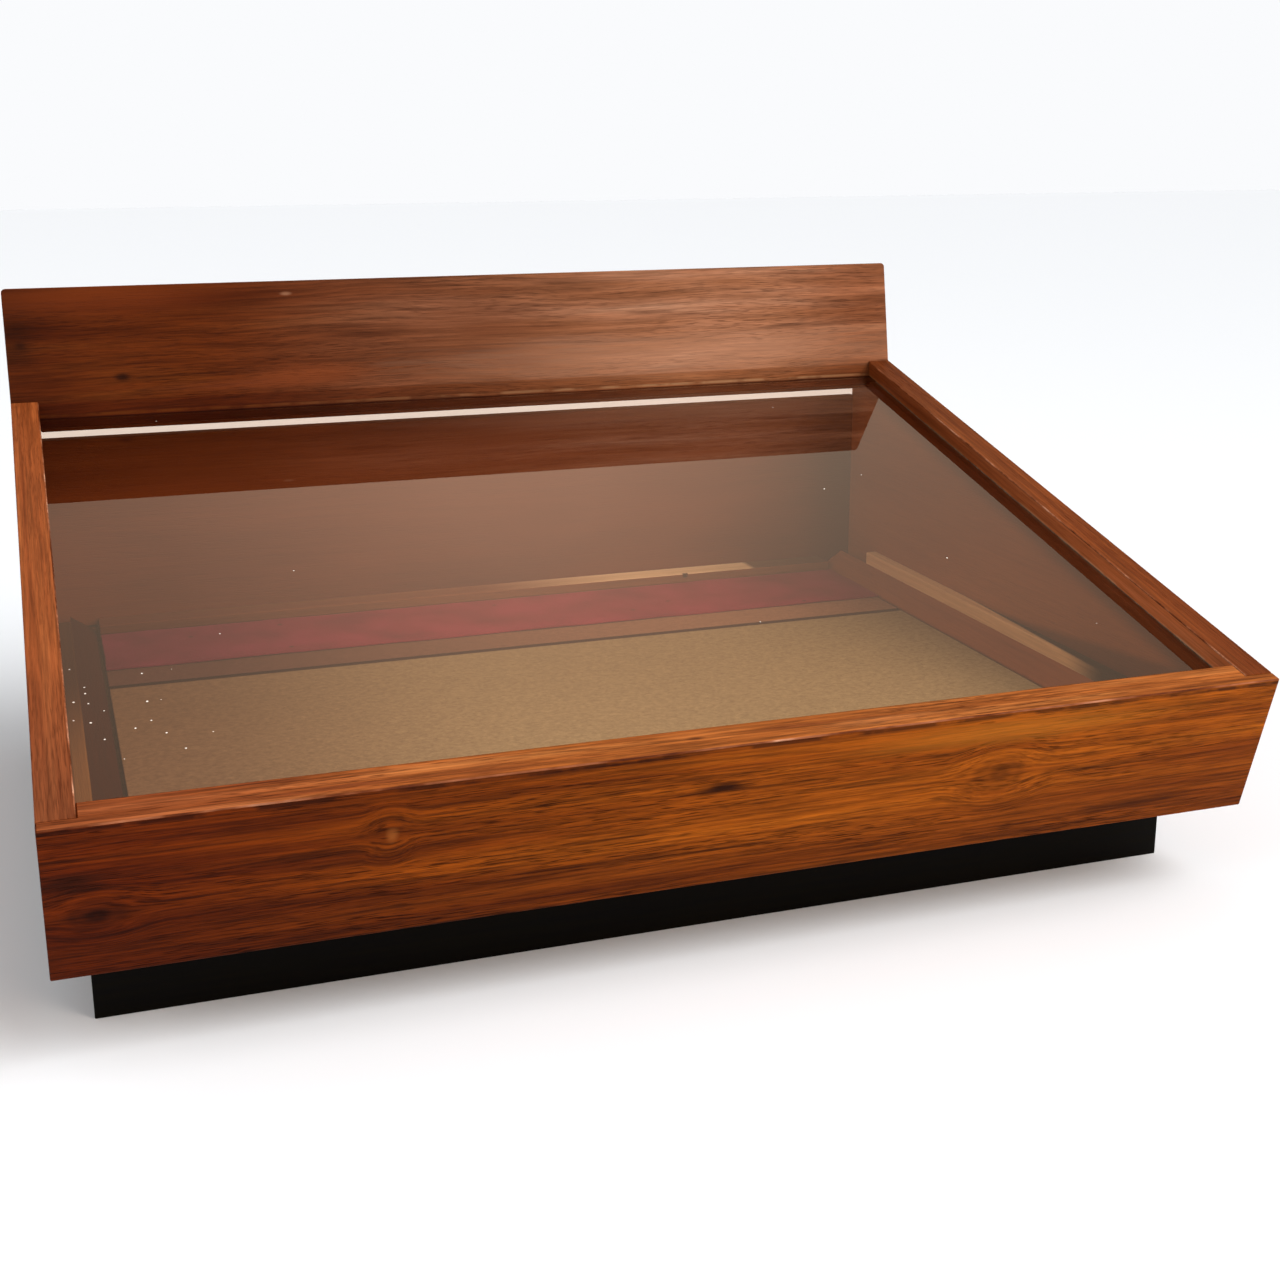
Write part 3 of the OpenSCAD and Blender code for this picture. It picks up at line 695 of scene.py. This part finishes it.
def fibreboard(name, dark, light, fades):
    """Pressed fibre, smooth side up: tan, with short loose fibres and no grain."""
    made, tree, surface = material(name, roughness=0.7, specular_ior_level=0.15)
    place = add(tree, "TexCoord").outputs["Object"]
    mottle = add(tree, "TexNoise", {"Vector": place, "Scale": 400.0, "Detail": 3.0})
    tone = add(tree, "ValToRGB", {"Fac": mottle}, stops=[(0.32, dark), (0.68, light)])
    fibre = add(tree, "VectorMath", {0: place, 1: (330, 1100, 900)}, operation="MULTIPLY")
    fibre = add(
        tree, "TexNoise", {"Vector": fibre, "Scale": 1.0, "Detail": 2.0, "Distortion": 2.0}
    )
    fleck = add(
        tree, "MapRange",
        {"Value": fibre, "From Min": 0.35, "From Max": 0.7, "To Min": 0.8, "To Max": 1.18},
    )
    tone = add(
        tree, "Mix", {"Factor": 1.0, "A": tone, "B": fleck}, data_type="RGBA",
        blend_type="MULTIPLY",
    )
    tone = tint(tree, tone, fades)
    tree.links.new(tone.outputs[2], surface.inputs["Base Color"])
    relief = add(tree, "Bump", {"Height": fibre, "Strength": 0.3, "Distance": 0.1 * MM})
    tree.links.new(relief.outputs[0], surface.inputs["Normal"])
    return made


# The two floor boards, dirty along their joints and darkened to the left by painted shade. The
# rear one is browner and darker.
DIRT = "#5a3a28"
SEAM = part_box("rear_floor")[0].y / MM
FLOOR_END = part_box("rear_floor")[1].x / MM
RIGHT_JOINT = (TO_RIGHT, FLOOR_END - 1.2, FLOOR_END - 0.5, DIRT)
front_fibreboard = fibreboard("front_fibreboard", "#958867", "#a79a76", [
    RIGHT_JOINT, (TO_LEFT, 20, 200, "#cab6b6"), (TO_BACK, SEAM - 4.4, SEAM - 3.6, DIRT),
    (TO_BACK, -110, 60, "#e6e3dc"),
])
rear_fibreboard = fibreboard("rear_fibreboard", "#87654c", "#936f55", [
    RIGHT_JOINT, (TO_LEFT, -150, 200, "#9a90a0"), (TO_FRONT, -SEAM - 0.7, -SEAM - 0.2, DIRT),
])

# Wool felt: deep red, matt, a short nap of about 0.3 mm that catches dust
red_felt, tree, surface = material(
    "red_felt", roughness=0.95, specular_ior_level=0.1, sheen_weight=0.04, sheen_roughness=0.5
)
place = add(tree, "TexCoord").outputs["Object"]
nap = add(tree, "TexNoise", {"Vector": place, "Scale": 1500.0, "Detail": 3.0})
patch = add(tree, "TexNoise", {"Vector": place, "Scale": 35.0, "Detail": 2.0})
tone = add(
    tree, "ValToRGB", {"Fac": patch},
    stops=[(0.3, "#6f142d"), (0.5, "#7f1b35"), (0.7, "#8b2240")],
)
fleck = add(
    tree, "MapRange",
    {"Value": nap, "From Min": 0.3, "From Max": 0.7, "To Min": 0.75, "To Max": 1.2},
)
tone = add(
    tree, "Mix", {"Factor": 1.0, "A": tone, "B": fleck}, data_type="RGBA", blend_type="MULTIPLY"
)
# Grit pressed into it: a dark spot here and there
grit = add(tree, "VectorMath", {0: place, 1: (45, 60, 0)}, operation="MULTIPLY")
grit = add(tree, "TexVoronoi", {"Vector": grit, "Scale": 1.0}, voronoi_dimensions="2D")
lot = add(tree, "SeparateColor", {"Color": grit.outputs["Color"]})
kept = add(tree, "Math", {0: lot.outputs["Red"], 1: 0.88}, operation="GREATER_THAN")
spot = add(tree, "Math", {0: grit.outputs["Distance"], 1: 0.055}, operation="LESS_THAN")
spot = add(tree, "Math", {0: spot, 1: kept}, operation="MULTIPLY")
tone = add(tree, "Mix", {"Factor": spot, "A": tone, "B": paint("#3c1c1c")}, data_type="RGBA")
# Painted shade dulls it to the left
tone = tint(tree, tone, [(TO_LEFT, 20, 200, "#c4e0f0")])
tree.links.new(tone.outputs[2], surface.inputs["Base Color"])
relief = add(tree, "Bump", {"Height": nap, "Strength": 0.8, "Distance": 0.2 * MM})
tree.links.new(relief.outputs[0], surface.inputs["Normal"])

# Float glass, thin and clear, with a few specks of dust on it, most at the front on the left.
# Both its faces mirror, so the share that one face mirrors, r, comes to 2r / (1 + r).
float_glass, tree, surface = material("float_glass")
tree.nodes.remove(surface)
mirrored = add(tree, "Fresnel", {"IOR": 1.52})
twice = add(tree, "Math", {0: mirrored, 1: 2.0}, operation="MULTIPLY")
both = add(tree, "Math", {0: mirrored, 1: 1.0}, operation="ADD")
mirrored = add(tree, "Math", {0: twice, 1: both}, operation="DIVIDE")
outside = add(
    tree, "Math", {0: 1.0, 1: add(tree, "NewGeometry").outputs["Backfacing"]},
    operation="SUBTRACT",
)
mirrored = add(tree, "Math", {0: mirrored, 1: outside}, operation="MULTIPLY")
# Its clear part is tinted warm: painted warm light on all that is seen through it
clear = add(tree, "BsdfTransparent", {"Color": paint("#fff4ea")})
mirror = add(tree, "BsdfGlossy", {"Color": paint("#ffffff"), "Roughness": 0.0})
pane = add(tree, "MixShader", {0: mirrored, 1: clear, 2: mirror})
place = add(tree, "TexCoord").outputs["Object"]
cells = add(tree, "VectorMath", {0: place, 1: (200, 200, 0)}, operation="MULTIPLY")
specks = add(tree, "TexVoronoi", {"Vector": cells, "Scale": 1.0}, voronoi_dimensions="2D")
lot = add(tree, "SeparateColor", {"Color": specks.outputs["Color"]})
corner = add(
    tree, "VectorMath", {0: place, 1: (-207 * MM, -120 * MM, 102 * MM)}, operation="DISTANCE"
)
rare = add(
    tree, "MapRange",
    {"Value": corner.outputs["Value"], "From Min": 10 * MM, "From Max": 50 * MM,
     "To Min": 0.72, "To Max": 0.9985},
)
kept = add(tree, "Math", {0: lot.outputs["Red"], 1: rare}, operation="GREATER_THAN")
grit = add(
    tree, "MapRange", {"Value": lot.outputs["Green"], "To Min": 0.035, "To Max": 0.085}
)
dot = add(tree, "Math", {0: specks.outputs["Distance"], 1: grit}, operation="LESS_THAN")
marks = add(tree, "Math", {0: dot, 1: kept}, operation="MULTIPLY")
marks = add(tree, "Math", {0: marks, 1: outside}, operation="MULTIPLY")
speck = add(tree, "BsdfDiffuse", {"Color": paint("#f0e4d4")})
whole = add(tree, "MixShader", {0: marks, 1: pane, 2: speck})
tree.links.new(whole.outputs[0], tree.nodes["Material Output"].inputs["Surface"])

# The same glass where it was cut and its edges were stoned: grey-green and frosted
ground_edge, tree, surface = material("ground_glass_edge", ior=1.52, transmission_weight=0.4)
place = add(tree, "TexCoord").outputs["Object"]
chips = add(tree, "TexNoise", {"Vector": place, "Scale": 260.0, "Detail": 3.0})
tone = add(tree, "ValToRGB", {"Fac": chips}, stops=[(0.35, "#4e564c"), (0.65, "#8e9486")])
tree.links.new(tone.outputs[0], surface.inputs["Base Color"])
rough = add(
    tree, "MapRange",
    {"Value": chips, "From Min": 0.3, "From Max": 0.7, "To Min": 0.35, "To Max": 0.7},
)
tree.links.new(rough.outputs[0], surface.inputs["Roughness"])

# Satin black paint brushed on pine: the grain just shows, and it is worn dull
black_paint, tree, surface = material("brushed_black_paint", specular_ior_level=0.06)
place = add(tree, "TexCoord").outputs["Object"]
brush = add(tree, "VectorMath", {0: place, 1: (18, 500, 500)}, operation="MULTIPLY")
brush = add(tree, "TexNoise", {"Vector": brush, "Scale": 1.0, "Detail": 3.0})
tone = add(tree, "ValToRGB", {"Fac": brush}, stops=[(0.3, "#060403"), (0.7, "#0d0a05")])
tree.links.new(tone.outputs[0], surface.inputs["Base Color"])
rough = add(
    tree, "MapRange",
    {"Value": brush, "From Min": 0.3, "From Max": 0.7, "To Min": 0.5, "To Max": 0.65},
)
tree.links.new(rough.outputs[0], surface.inputs["Roughness"])
relief = add(tree, "Bump", {"Height": brush, "Strength": 0.35, "Distance": 0.1 * MM})
tree.links.new(relief.outputs[0], surface.inputs["Normal"])


def metal(name, bright, dull, shine):
    """Metal that has been handled: rubbed bright in places, and dull and spotted in others."""
    made, tree, surface = material(name, metallic=1.0)
    place = add(tree, "TexCoord").outputs["Object"]
    cloud = add(tree, "TexNoise", {"Vector": place, "Scale": 110.0, "Detail": 5.0})
    tone = add(tree, "ValToRGB", {"Fac": cloud}, stops=[(0.35, dull), (0.62, bright)])
    tree.links.new(tone.outputs[0], surface.inputs["Base Color"])
    rough = add(
        tree, "MapRange",
        {"Value": cloud, "From Min": 0.35, "From Max": 0.62, "To Min": shine + 0.25,
         "To Max": shine},
    )
    tree.links.new(rough.outputs[0], surface.inputs["Roughness"])
    scratch = add(tree, "VectorMath", {0: place, 1: (300, 5000, 5000)}, operation="MULTIPLY")
    scratch = add(tree, "TexNoise", {"Vector": scratch, "Scale": 1.0, "Detail": 2.0})
    relief = add(tree, "Bump", {"Height": scratch, "Strength": 0.2, "Distance": 0.02 * MM})
    tree.links.new(relief.outputs[0], surface.inputs["Normal"])
    return made


brass = metal("old_brass", "#c8a050", "#a27e3c", 0.28)
steel = metal("zinc_steel", "#b0b0ac", "#888680", 0.32)

# Front board: sawn to its lean, rebated at both ends over the side boards
front_board = stock("front_board_veneered", "front_board")
saw(front_board, FRONT_EDGE, FRONT)
saw(front_board, FRONT_EDGE, TOPS)
saw(front_board, FRONT_EDGE - FRONT * FRONT_T, -FRONT)
low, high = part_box("front_board")
ends = []
for x0, x1 in ((LEFT - SAW_SPARE, -INNER), (INNER, RIGHT + SAW_SPARE)):
    end = block("end", (x0, low.y, low.z - SAW_SPARE), (x1, high.y + FRONT_T, high.z + FRONT_T))
    saw(end, FRONT_EDGE - FRONT * TONGUE_T, FRONT)
    ends.append(end)
carve(front_board, *ends)
ease(front_board, 0.5 * MM)
groove = block(
    "groove", (LEFT, FRONT_T - GROOVE_D, -GLASS_DROP - GLASS_T - GAP),
    (RIGHT, FRONT_T * 2, GAP - GLASS_DROP),
)
carve(front_board, settle(groove, FRONT_EDGE, SLOPE))
fit(front_board, front_walnut, "front_board")
front_board.data.materials.append(lip_walnut)
front_board.data.materials.append(arris_wear_and_highlight)
for face in front_board.data.polygons:
    if face.normal.dot(TOPS) > 0.95:
        face.material_index = 1
    elif face.normal.dot(TOPS) > 0.3 and face.normal.dot(FRONT) > 0.3:
        face.material_index = 2


def header_screws():
    """Drills for the four screws that hold the header, at their places in the horns."""
    bits = []
    for side in (-1, 1):
        for rise in HEADER_SCREWS_AT:
            z = (HEADER_FACE + HEADER_UP * rise - HEADER_FRONT * HEADER_T).z
            bits += drill((side * (RIGHT - SIDE_T / 2), BACK, z), *HEADER_SCREW)
    return bits


def side_board():
    """The right side board: sloping top, header notch and horn, glass groove, door rebate."""
    board = block(
        "side_board_right", (INNER, FRONT_EDGE.y, UNDERSIDE), (RIGHT, BACK, SIDE_BLANK_TOP)
    )
    saw(board, FRONT_EDGE - FRONT * TONGUE_T, FRONT)
    saw(board, HEADER_FACE + HEADER_UP * HORN_RISE - HEADER_FRONT * HEADER_T, HEADER_UP)
    slab = block(
        "slab", (INNER - SAW_SPARE, 0, -HEADER_DROP), (RIGHT + SAW_SPARE, HEADER_T, CUT_UP)
    )
    settle(slab, HEADER_FACE, -HEADER_LEAN)
    above = block(
        "above", (INNER - SAW_SPARE, -CUT_FRONT, 0), (RIGHT + SAW_SPARE, CUT_BACK, CUT_UP)
    )
    settle(above, FRONT_EDGE, SLOPE)
    saw(above, HEADER_FACE - HEADER_FRONT * HEADER_T / 2, -HEADER_FRONT)
    carve(board, slab, above)
    ease(board, 0.5 * MM)
    groove = block(
        "groove", (INNER - SAW_SPARE, 0, -GLASS_DROP - GLASS_T - GAP),
        (INNER + GROOVE_D, GROOVE_RUN, GAP - GLASS_DROP),
    )
    settle(groove, FRONT_EDGE, SLOPE)
    rebate = block(
        "rebate", (INNER - SAW_SPARE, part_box("door_stop")[1].y, FLOOR_TOP),
        (INNER + REBATE_D, BACK + SAW_SPARE, RAIL_UNDERSIDE),
    )
    carve(board, groove, rebate, *header_screws())
    return board


right_board = side_board()
choose(right_board)
bpy.ops.object.duplicate()
left_board = bpy.context.object
left_board.scale.x = -1
left_board = named("side_board_left")
with editing(left_board):
    bpy.ops.mesh.select_all(action="SELECT")
    bpy.ops.mesh.normals_make_consistent(inside=False)
fit(left_board, side_walnut, "side_left")
fit(right_board, side_walnut, "side_right")
TOP_FINISH, ARRIS_FINISH, INNER_FINISH, EDGE_FINISH = 1, 2, 3, 4
for board in (left_board, right_board):
    for finish in (rail_walnut, arris_wear_and_highlight, inner_walnut, edge_walnut):
        board.data.materials.append(finish)
    for face in board.data.polygons:
        inward = face.normal.x * (1 if board is left_board else -1)
        level = face.center.dot(TOPS)
        if face.normal.dot(TOPS) > 0.3:
            face.material_index = ARRIS_FINISH if inward > 0.3 else TOP_FINISH
        elif abs(face.center.x) < INNER + GROOVE_D + GAP:
            above = level > GLASS_LEVEL * MM and face.center.y < HEADER_FACE.y
            face.material_index = EDGE_FINISH if inward > 0.9 and above else INNER_FINISH

# Header: one board with its two top corners rounded
header = block("header_board_veneered", (LEFT, 0, -HEADER_DROP), (RIGHT, HEADER_T, HEADER_RISE))
with editing(header) as mesh:
    for edge in mesh.edges:
        a, b = (v.co for v in edge.verts)
        edge.select_set(a.z > 0 and b.z > 0 and abs(a.x - b.x) < MM)
    bmesh.update_edit_mesh(header.data)
    bpy.ops.mesh.bevel(offset=2 * MM, segments=6, affect="EDGES")
ease(header, 0.5 * MM)
settle(header, HEADER_FACE, -HEADER_LEAN)
carve(header, *header_screws())
fit(header, header_walnut, "header_board")
header.data.materials.append(header_back_walnut)
for face in header.data.polygons:
    face.material_index = int(face.normal.dot(HEADER_FRONT) < 0.9)

# Glass: cut square, with a fine arris all round
low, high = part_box("glass_pane")
foot = (FRONT_T - GROOVE_D + GAP, -GLASS_DROP - GLASS_T)
length = (high.y - low.y - GLASS_T * math.sin(SLOPE)) / math.cos(SLOPE)
glass = block("glass_sheet", (low.x, *foot), (high.x, foot[0] + length, -GLASS_DROP))
ease(glass, 0.25 * MM, 1)
glass.data.materials.append(float_glass)
glass.data.materials.append(ground_edge)
for face in glass.data.polygons:
    face.material_index = int(abs(face.normal.z) < 0.9 and face.normal.y < 0.5)
settle(glass, FRONT_EDGE, SLOPE)
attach(glass, "case")
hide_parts("glass_pane")


def hinge_screw_holes(up):
    """Drills for the hinge screws above or below the pins."""
    pin = middle("hinge_pin_right")
    return [
        bit for x in (-pin.x, pin.x) for i in (-1, 0, 1)
        for bit in drill(
            (x + i * HINGE_SCREW_STEP, BACK, pin.z + up * HINGE_SCREW_RISE), *HINGE_SCREW
        )
    ]


# Rear door, its edges eased by hand
door = stock("rear_door_board", "rear_door")
ease(door, 0.9 * MM)
carve(door, *hinge_screw_holes(1), *drill((0, BACK, middle("door_knob").z), *KNOB_STUD))
fit(door, back_walnut, "rear_door", "door")

# Rails above and below it. The upper one is planed to the header's leaning back.
rail = stock("top_rail_fitted", "top_rail")
saw(rail, HEADER_FACE - HEADER_FRONT * HEADER_T, HEADER_FRONT)
ease(rail, 0.8 * MM)
carve(rail, *drill((0, BACK, middle("turn_button").z), *BUTTON_SCREW))
fit(rail, back_walnut, "top_rail")
rail = stock("bottom_rail_drilled", "bottom_rail")
ease(rail, 0.5 * MM)
carve(rail, *hinge_screw_holes(-1))
fit(rail, back_walnut, "bottom_rail")

# Knob: a foot with a bead, a waisted neck and a flattened ball, drawn in millimetres
BALL_AT, BALL_HALF, BALL_R = 10.4, 5.6, 8
knob = [(-6, 2.5), (0, 2.5), (0, 5.3), (0.3, 5.6), (1.2, 5.6), (1.6, 5.2), (2.6, 4.3), (4.2, 4.0)]
for degrees in range(-60, 85, 8):
    turn = math.radians(degrees)
    knob.append((BALL_AT + BALL_HALF * math.sin(turn), BALL_R * math.cos(turn)))
knob.append((BALL_AT + BALL_HALF, 0.5))
knob = lathe(
    "turned_knob", (0, BACK, middle("door_knob").z), [(y * MM, r * MM) for y, r in knob]
)
fit(knob, brass, "door_knob", "door")

# Turn button: a bar with round ends, its upper edges rubbed round
button = stock("turn_button_bar", "turn_button")
low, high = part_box("turn_button")
with editing(button) as mesh:
    for edge in mesh.edges:
        a, b = (v.co for v in edge.verts)
        edge.select_set(abs(a.y - b.y) > MM)
    bmesh.update_edit_mesh(button.data)
    bpy.ops.mesh.bevel(offset=(high.z - low.z) / 2 - 0.02 * MM, segments=12, affect="EDGES")
ease(button, 0.6 * MM, 3)
carve(button, *drill((0, high.y, middle("turn_button").z), *BUTTON_BORE))
fit(button, brass, "turn_button", "button")

# The round-headed screw that it swings on: its head's seat, rim, dome and radius
SEAT, RIM, DOME, HEAD_R = 2.85, 0.7, 1.4, 3.78
head = [(-6, 1.8), (SEAT, 1.8), (SEAT, 3.5), (SEAT + 0.15, 3.75), (SEAT + RIM, HEAD_R)]
for degrees in range(15, 90, 15):
    turn = math.radians(degrees)
    head.append((SEAT + RIM + DOME * math.sin(turn), HEAD_R * math.cos(turn)))
head.append((SEAT + RIM + DOME + 0.03, 0.3))
screw = lathe(
    "button_screw_domed", (0, BACK, middle("turn_button").z), [(y * MM, r * MM) for y, r in head]
)
# Its slot: the floor's height above the seat, and half the width
SLOT_FLOOR, SLOT_HALF = 1.08, 0.36
slot_z = middle("turn_button").z
carve(screw, block(
    "slot", (-5 * MM, BACK + (SEAT + SLOT_FLOOR) * MM, slot_z - SLOT_HALF * MM),
    (5 * MM, BACK + 6 * MM, slot_z + SLOT_HALF * MM),
))
fit(screw, brass, "button_screw")

# Inside: plywood bottom, planed to the front board's lean and bored for the plinth screws
panel = stock("bottom_panel_ply", "bottom_panel")
saw(panel, FRONT_EDGE - FRONT * FRONT_T, FRONT)
ease(panel, 0.3 * MM)
low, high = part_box("plinth_screws")
holes = []
for x in (low.x + PLINTH_HEAD_R, high.x - PLINTH_HEAD_R):
    for y in (low.y + PLINTH_HEAD_R, high.y - PLINTH_HEAD_R):
        holes += drill((x, y, UNDERSIDE), *PLINTH_SCREW, aim=Vector((0, 0, 1)))
carve(panel, *holes)
fit(panel, birch_ply, "bottom_panel")

# Floor: two boards one behind the other, their cut edges softened
for part in ("front", "rear"):
    board = stock(part + "_floor_board", part + "_floor")
    ease(board, 0.4 * MM)
    fit(
        board, front_fibreboard if part == "front" else rear_fibreboard,
        part + "_floor",
    )

# Battens along the side boards, and a stained bead beside each that is planed down to the
# floor. All are planed to the front board's lean.
for side, hand in (("left", -1), ("right", 1)):
    batten = stock("batten_" + side + "_planed", "batten_" + side)
    saw(batten, FRONT_EDGE - FRONT * FRONT_T, FRONT)
    ease(batten, 0.7 * MM)
    fit(batten, batten_pine, "batten_" + side)
    bead = stock("bead_" + side + "_bevelled", "bead_" + side)
    low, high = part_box("bead_" + side)
    saw(bead, FRONT_EDGE - FRONT * FRONT_T, FRONT)
    foot = (low.x if hand > 0 else high.x, 0, FLOOR_TOP - GAP)
    saw(bead, foot, (hand * (FLOOR_TOP - high.z), 0, high.x - low.x))
    ease(bead, 0.4 * MM)
    fit(bead, bead_stain_and_shade, "bead_" + side)

# Stop strip at the foot of the door, with a nick in its upper edge
stop = stock("door_stop_strip", "door_stop")
low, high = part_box("door_stop")
ease(stop, 0.6 * MM)
NICK_AT, NICK_DEPTH, NICK_SLANT = 110 * MM, 1.6 * MM, math.radians(-20)
nick = block("nick", (0, 0, 0), (3.2 * MM, 5 * MM, 2.4 * MM))
settle(nick, (NICK_AT, low.y - MM, high.z - NICK_DEPTH), NICK_SLANT)
carve(stop, nick)
fit(stop, stop_pine, "door_stop")
stop.data.materials.append(stop_top_painted_lit)
for face in stop.data.polygons:
    face.material_index = int(face.normal.z > 0.5)

# Plinth: four boards, the long ones rounded at their outer corners
for side in ("front", "back", "left", "right"):
    board = stock("plinth_" + side + "_painted", "plinth_" + side)
    outer = middle("plinth_" + side).y
    if side in ("front", "back"):
        with editing(board) as mesh:
            for edge in mesh.edges:
                a, b = (v.co for v in edge.verts)
                out = (a.y - outer) * outer > 0
                edge.select_set(out and abs(a.z - b.z) > MM)
            bmesh.update_edit_mesh(board.data)
            bpy.ops.mesh.bevel(offset=4 * MM, segments=6, affect="EDGES")
    ease(board, 0.4 * MM)
    fit(board, black_paint, "plinth_" + side)

# Felt: one strip cut with scissors and laid on the rear floor board with a little glue. Its
# edges wander, and it lies in low waves with a nap on top.
low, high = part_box("felt_strip")
deselect()
bpy.ops.mesh.primitive_grid_add(
    x_subdivisions=200, y_subdivisions=30, size=1,
    location=((low.x + high.x) / 2, (low.y + high.y) / 2, low.z),
)
bpy.context.object.scale = (high.x - low.x, high.y - low.y, 1)
felt = named("felt_laid")
for axis, spread, reach in (("Y", 0.035, 1.6), ("X", 0.02, 1.2), ("Z", 0.03, 0.7)):
    waves = bpy.data.textures.new("felt_waves_" + axis, "CLOUDS")
    waves.noise_scale = spread
    waves.noise_depth = 1
    finish_with(
        felt, "DISPLACE", texture=waves, direction=axis, strength=reach * MM,
        mid_level=0.0 if axis == "Z" else 0.5, texture_coords="LOCAL",
    )
finish_with(felt, "SOLIDIFY", thickness=0.9 * MM, offset=1.0)
ease(felt, 0.2 * MM)
fit(felt, red_felt, "felt_strip")

for node, finish in {
    "plinth_blocks": bare_pine, "plinth_screws": steel, "header_screws": steel,
    "hinge_case_leaf_left": brass, "hinge_case_leaf_right": brass,
    "hinge_door_leaf_left": brass, "hinge_door_leaf_right": brass, "hinge_pin_left": steel,
    "hinge_pin_right": steel, "hinge_case_screws": brass, "hinge_door_screws": brass,
}.items():
    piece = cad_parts[node]
    piece.data.materials.clear()
    piece.data.materials.append(finish)

# Studio: a plain white floor
deselect()
bpy.ops.mesh.primitive_plane_add(size=12)
floor = named("studio_floor")
white, tree, surface = material("studio_white", roughness=0.9)
surface.inputs["Base Color"].default_value = paint("#f4f4f4")
floor.data.materials.append(white)


def lamp(name, kind, at, aim, power, code, **shape):
    """A soft lamp at a place, turned to a point. Neither the eye nor a mirror sees it."""
    light = bpy.data.lights.new(name, kind)
    light.energy = power
    light.color = paint(code)[:3]
    for key, value in shape.items():
        setattr(light, key, value)
    body = bpy.data.objects.new(name, light)
    bpy.context.scene.collection.objects.link(body)
    body.location = at
    body.rotation_euler = (Vector(aim) - Vector(at)).to_track_quat("-Z", "Y").to_euler()
    body.visible_camera = body.visible_glossy = False


lamp("skylight", "SUN", (1.1, -0.9, 1.5), (0, 0, 0), 2.8, "#fafcff", angle=math.radians(50))
lamp(
    "window", "AREA", (1.1, -1.6, 0.65), (0.15, 0.1, 0.15), 12, "#ffe6d0",
    shape="RECTANGLE", size=0.8, size_y=0.8,
)
lamp(
    "bounce", "AREA", (-1.7, -0.5, 0.9), (-0.3, 0, 0), 9, "#ffffff",
    shape="RECTANGLE", size=1.0, size_y=1.0,
)

# The room: white to the eye, even white light, and in what mirrors it a warm wall at the back
world = bpy.data.worlds.new("studio")
bpy.context.scene.world = world
world.use_nodes = True
tree = world.node_tree
path = add(tree, "LightPath")
even = add(tree, "Background", {"Color": paint("#f4f8fc"), "Strength": 0.5})
toward = add(tree, "TexCoord").outputs["Generated"]
WARM_WALL = (0.258, 0.75, 0.609)
aside = add(tree, "VectorMath", {0: toward, 1: WARM_WALL}, operation="DISTANCE")
glow = add(
    tree, "ValToRGB", {"Fac": aside.outputs["Value"]},
    stops=[(0.04, "#fdd3b3"), (0.2, "#caad94"), (0.36, "#b0967f"), (0.9, "#87725f")],
)
wall = add(tree, "Background", {"Color": glow, "Strength": 1.0})
room = add(tree, "MixShader", {0: path.outputs["Is Glossy Ray"], 1: even, 2: wall})
seen = add(tree, "Background", {"Color": paint("#fafbfd"), "Strength": 1.0})
both = add(tree, "MixShader", {0: path.outputs["Is Camera Ray"], 1: room, 2: seen})
tree.links.new(both.outputs[0], tree.nodes["World Output"].inputs["Surface"])
bpy.context.scene.view_settings.view_transform = "Standard"

# The camera stands where the photograph was taken from. Its angles are in degrees.
CAMERA_AT = (-0.21874, -0.72259, 0.30318)
HEADING, DIP, ROLL = -19.124, 14.621, -0.052
lens = bpy.data.cameras.new("camera")
lens.sensor_width = 36
lens.lens = 49.214
lens.shift_x = 0.00124
lens.shift_y = -0.0488
camera = bpy.data.objects.new("camera", lens)
bpy.context.scene.collection.objects.link(camera)
bpy.context.scene.camera = camera
camera.matrix_world = (
    Matrix.Translation(CAMERA_AT)
    @ Matrix.Rotation(math.radians(HEADING), 4, "Z")
    @ Matrix.Rotation(math.radians(90 - DIP), 4, "X")
    @ Matrix.Rotation(math.radians(ROLL), 4, "Z")
)

deselect()
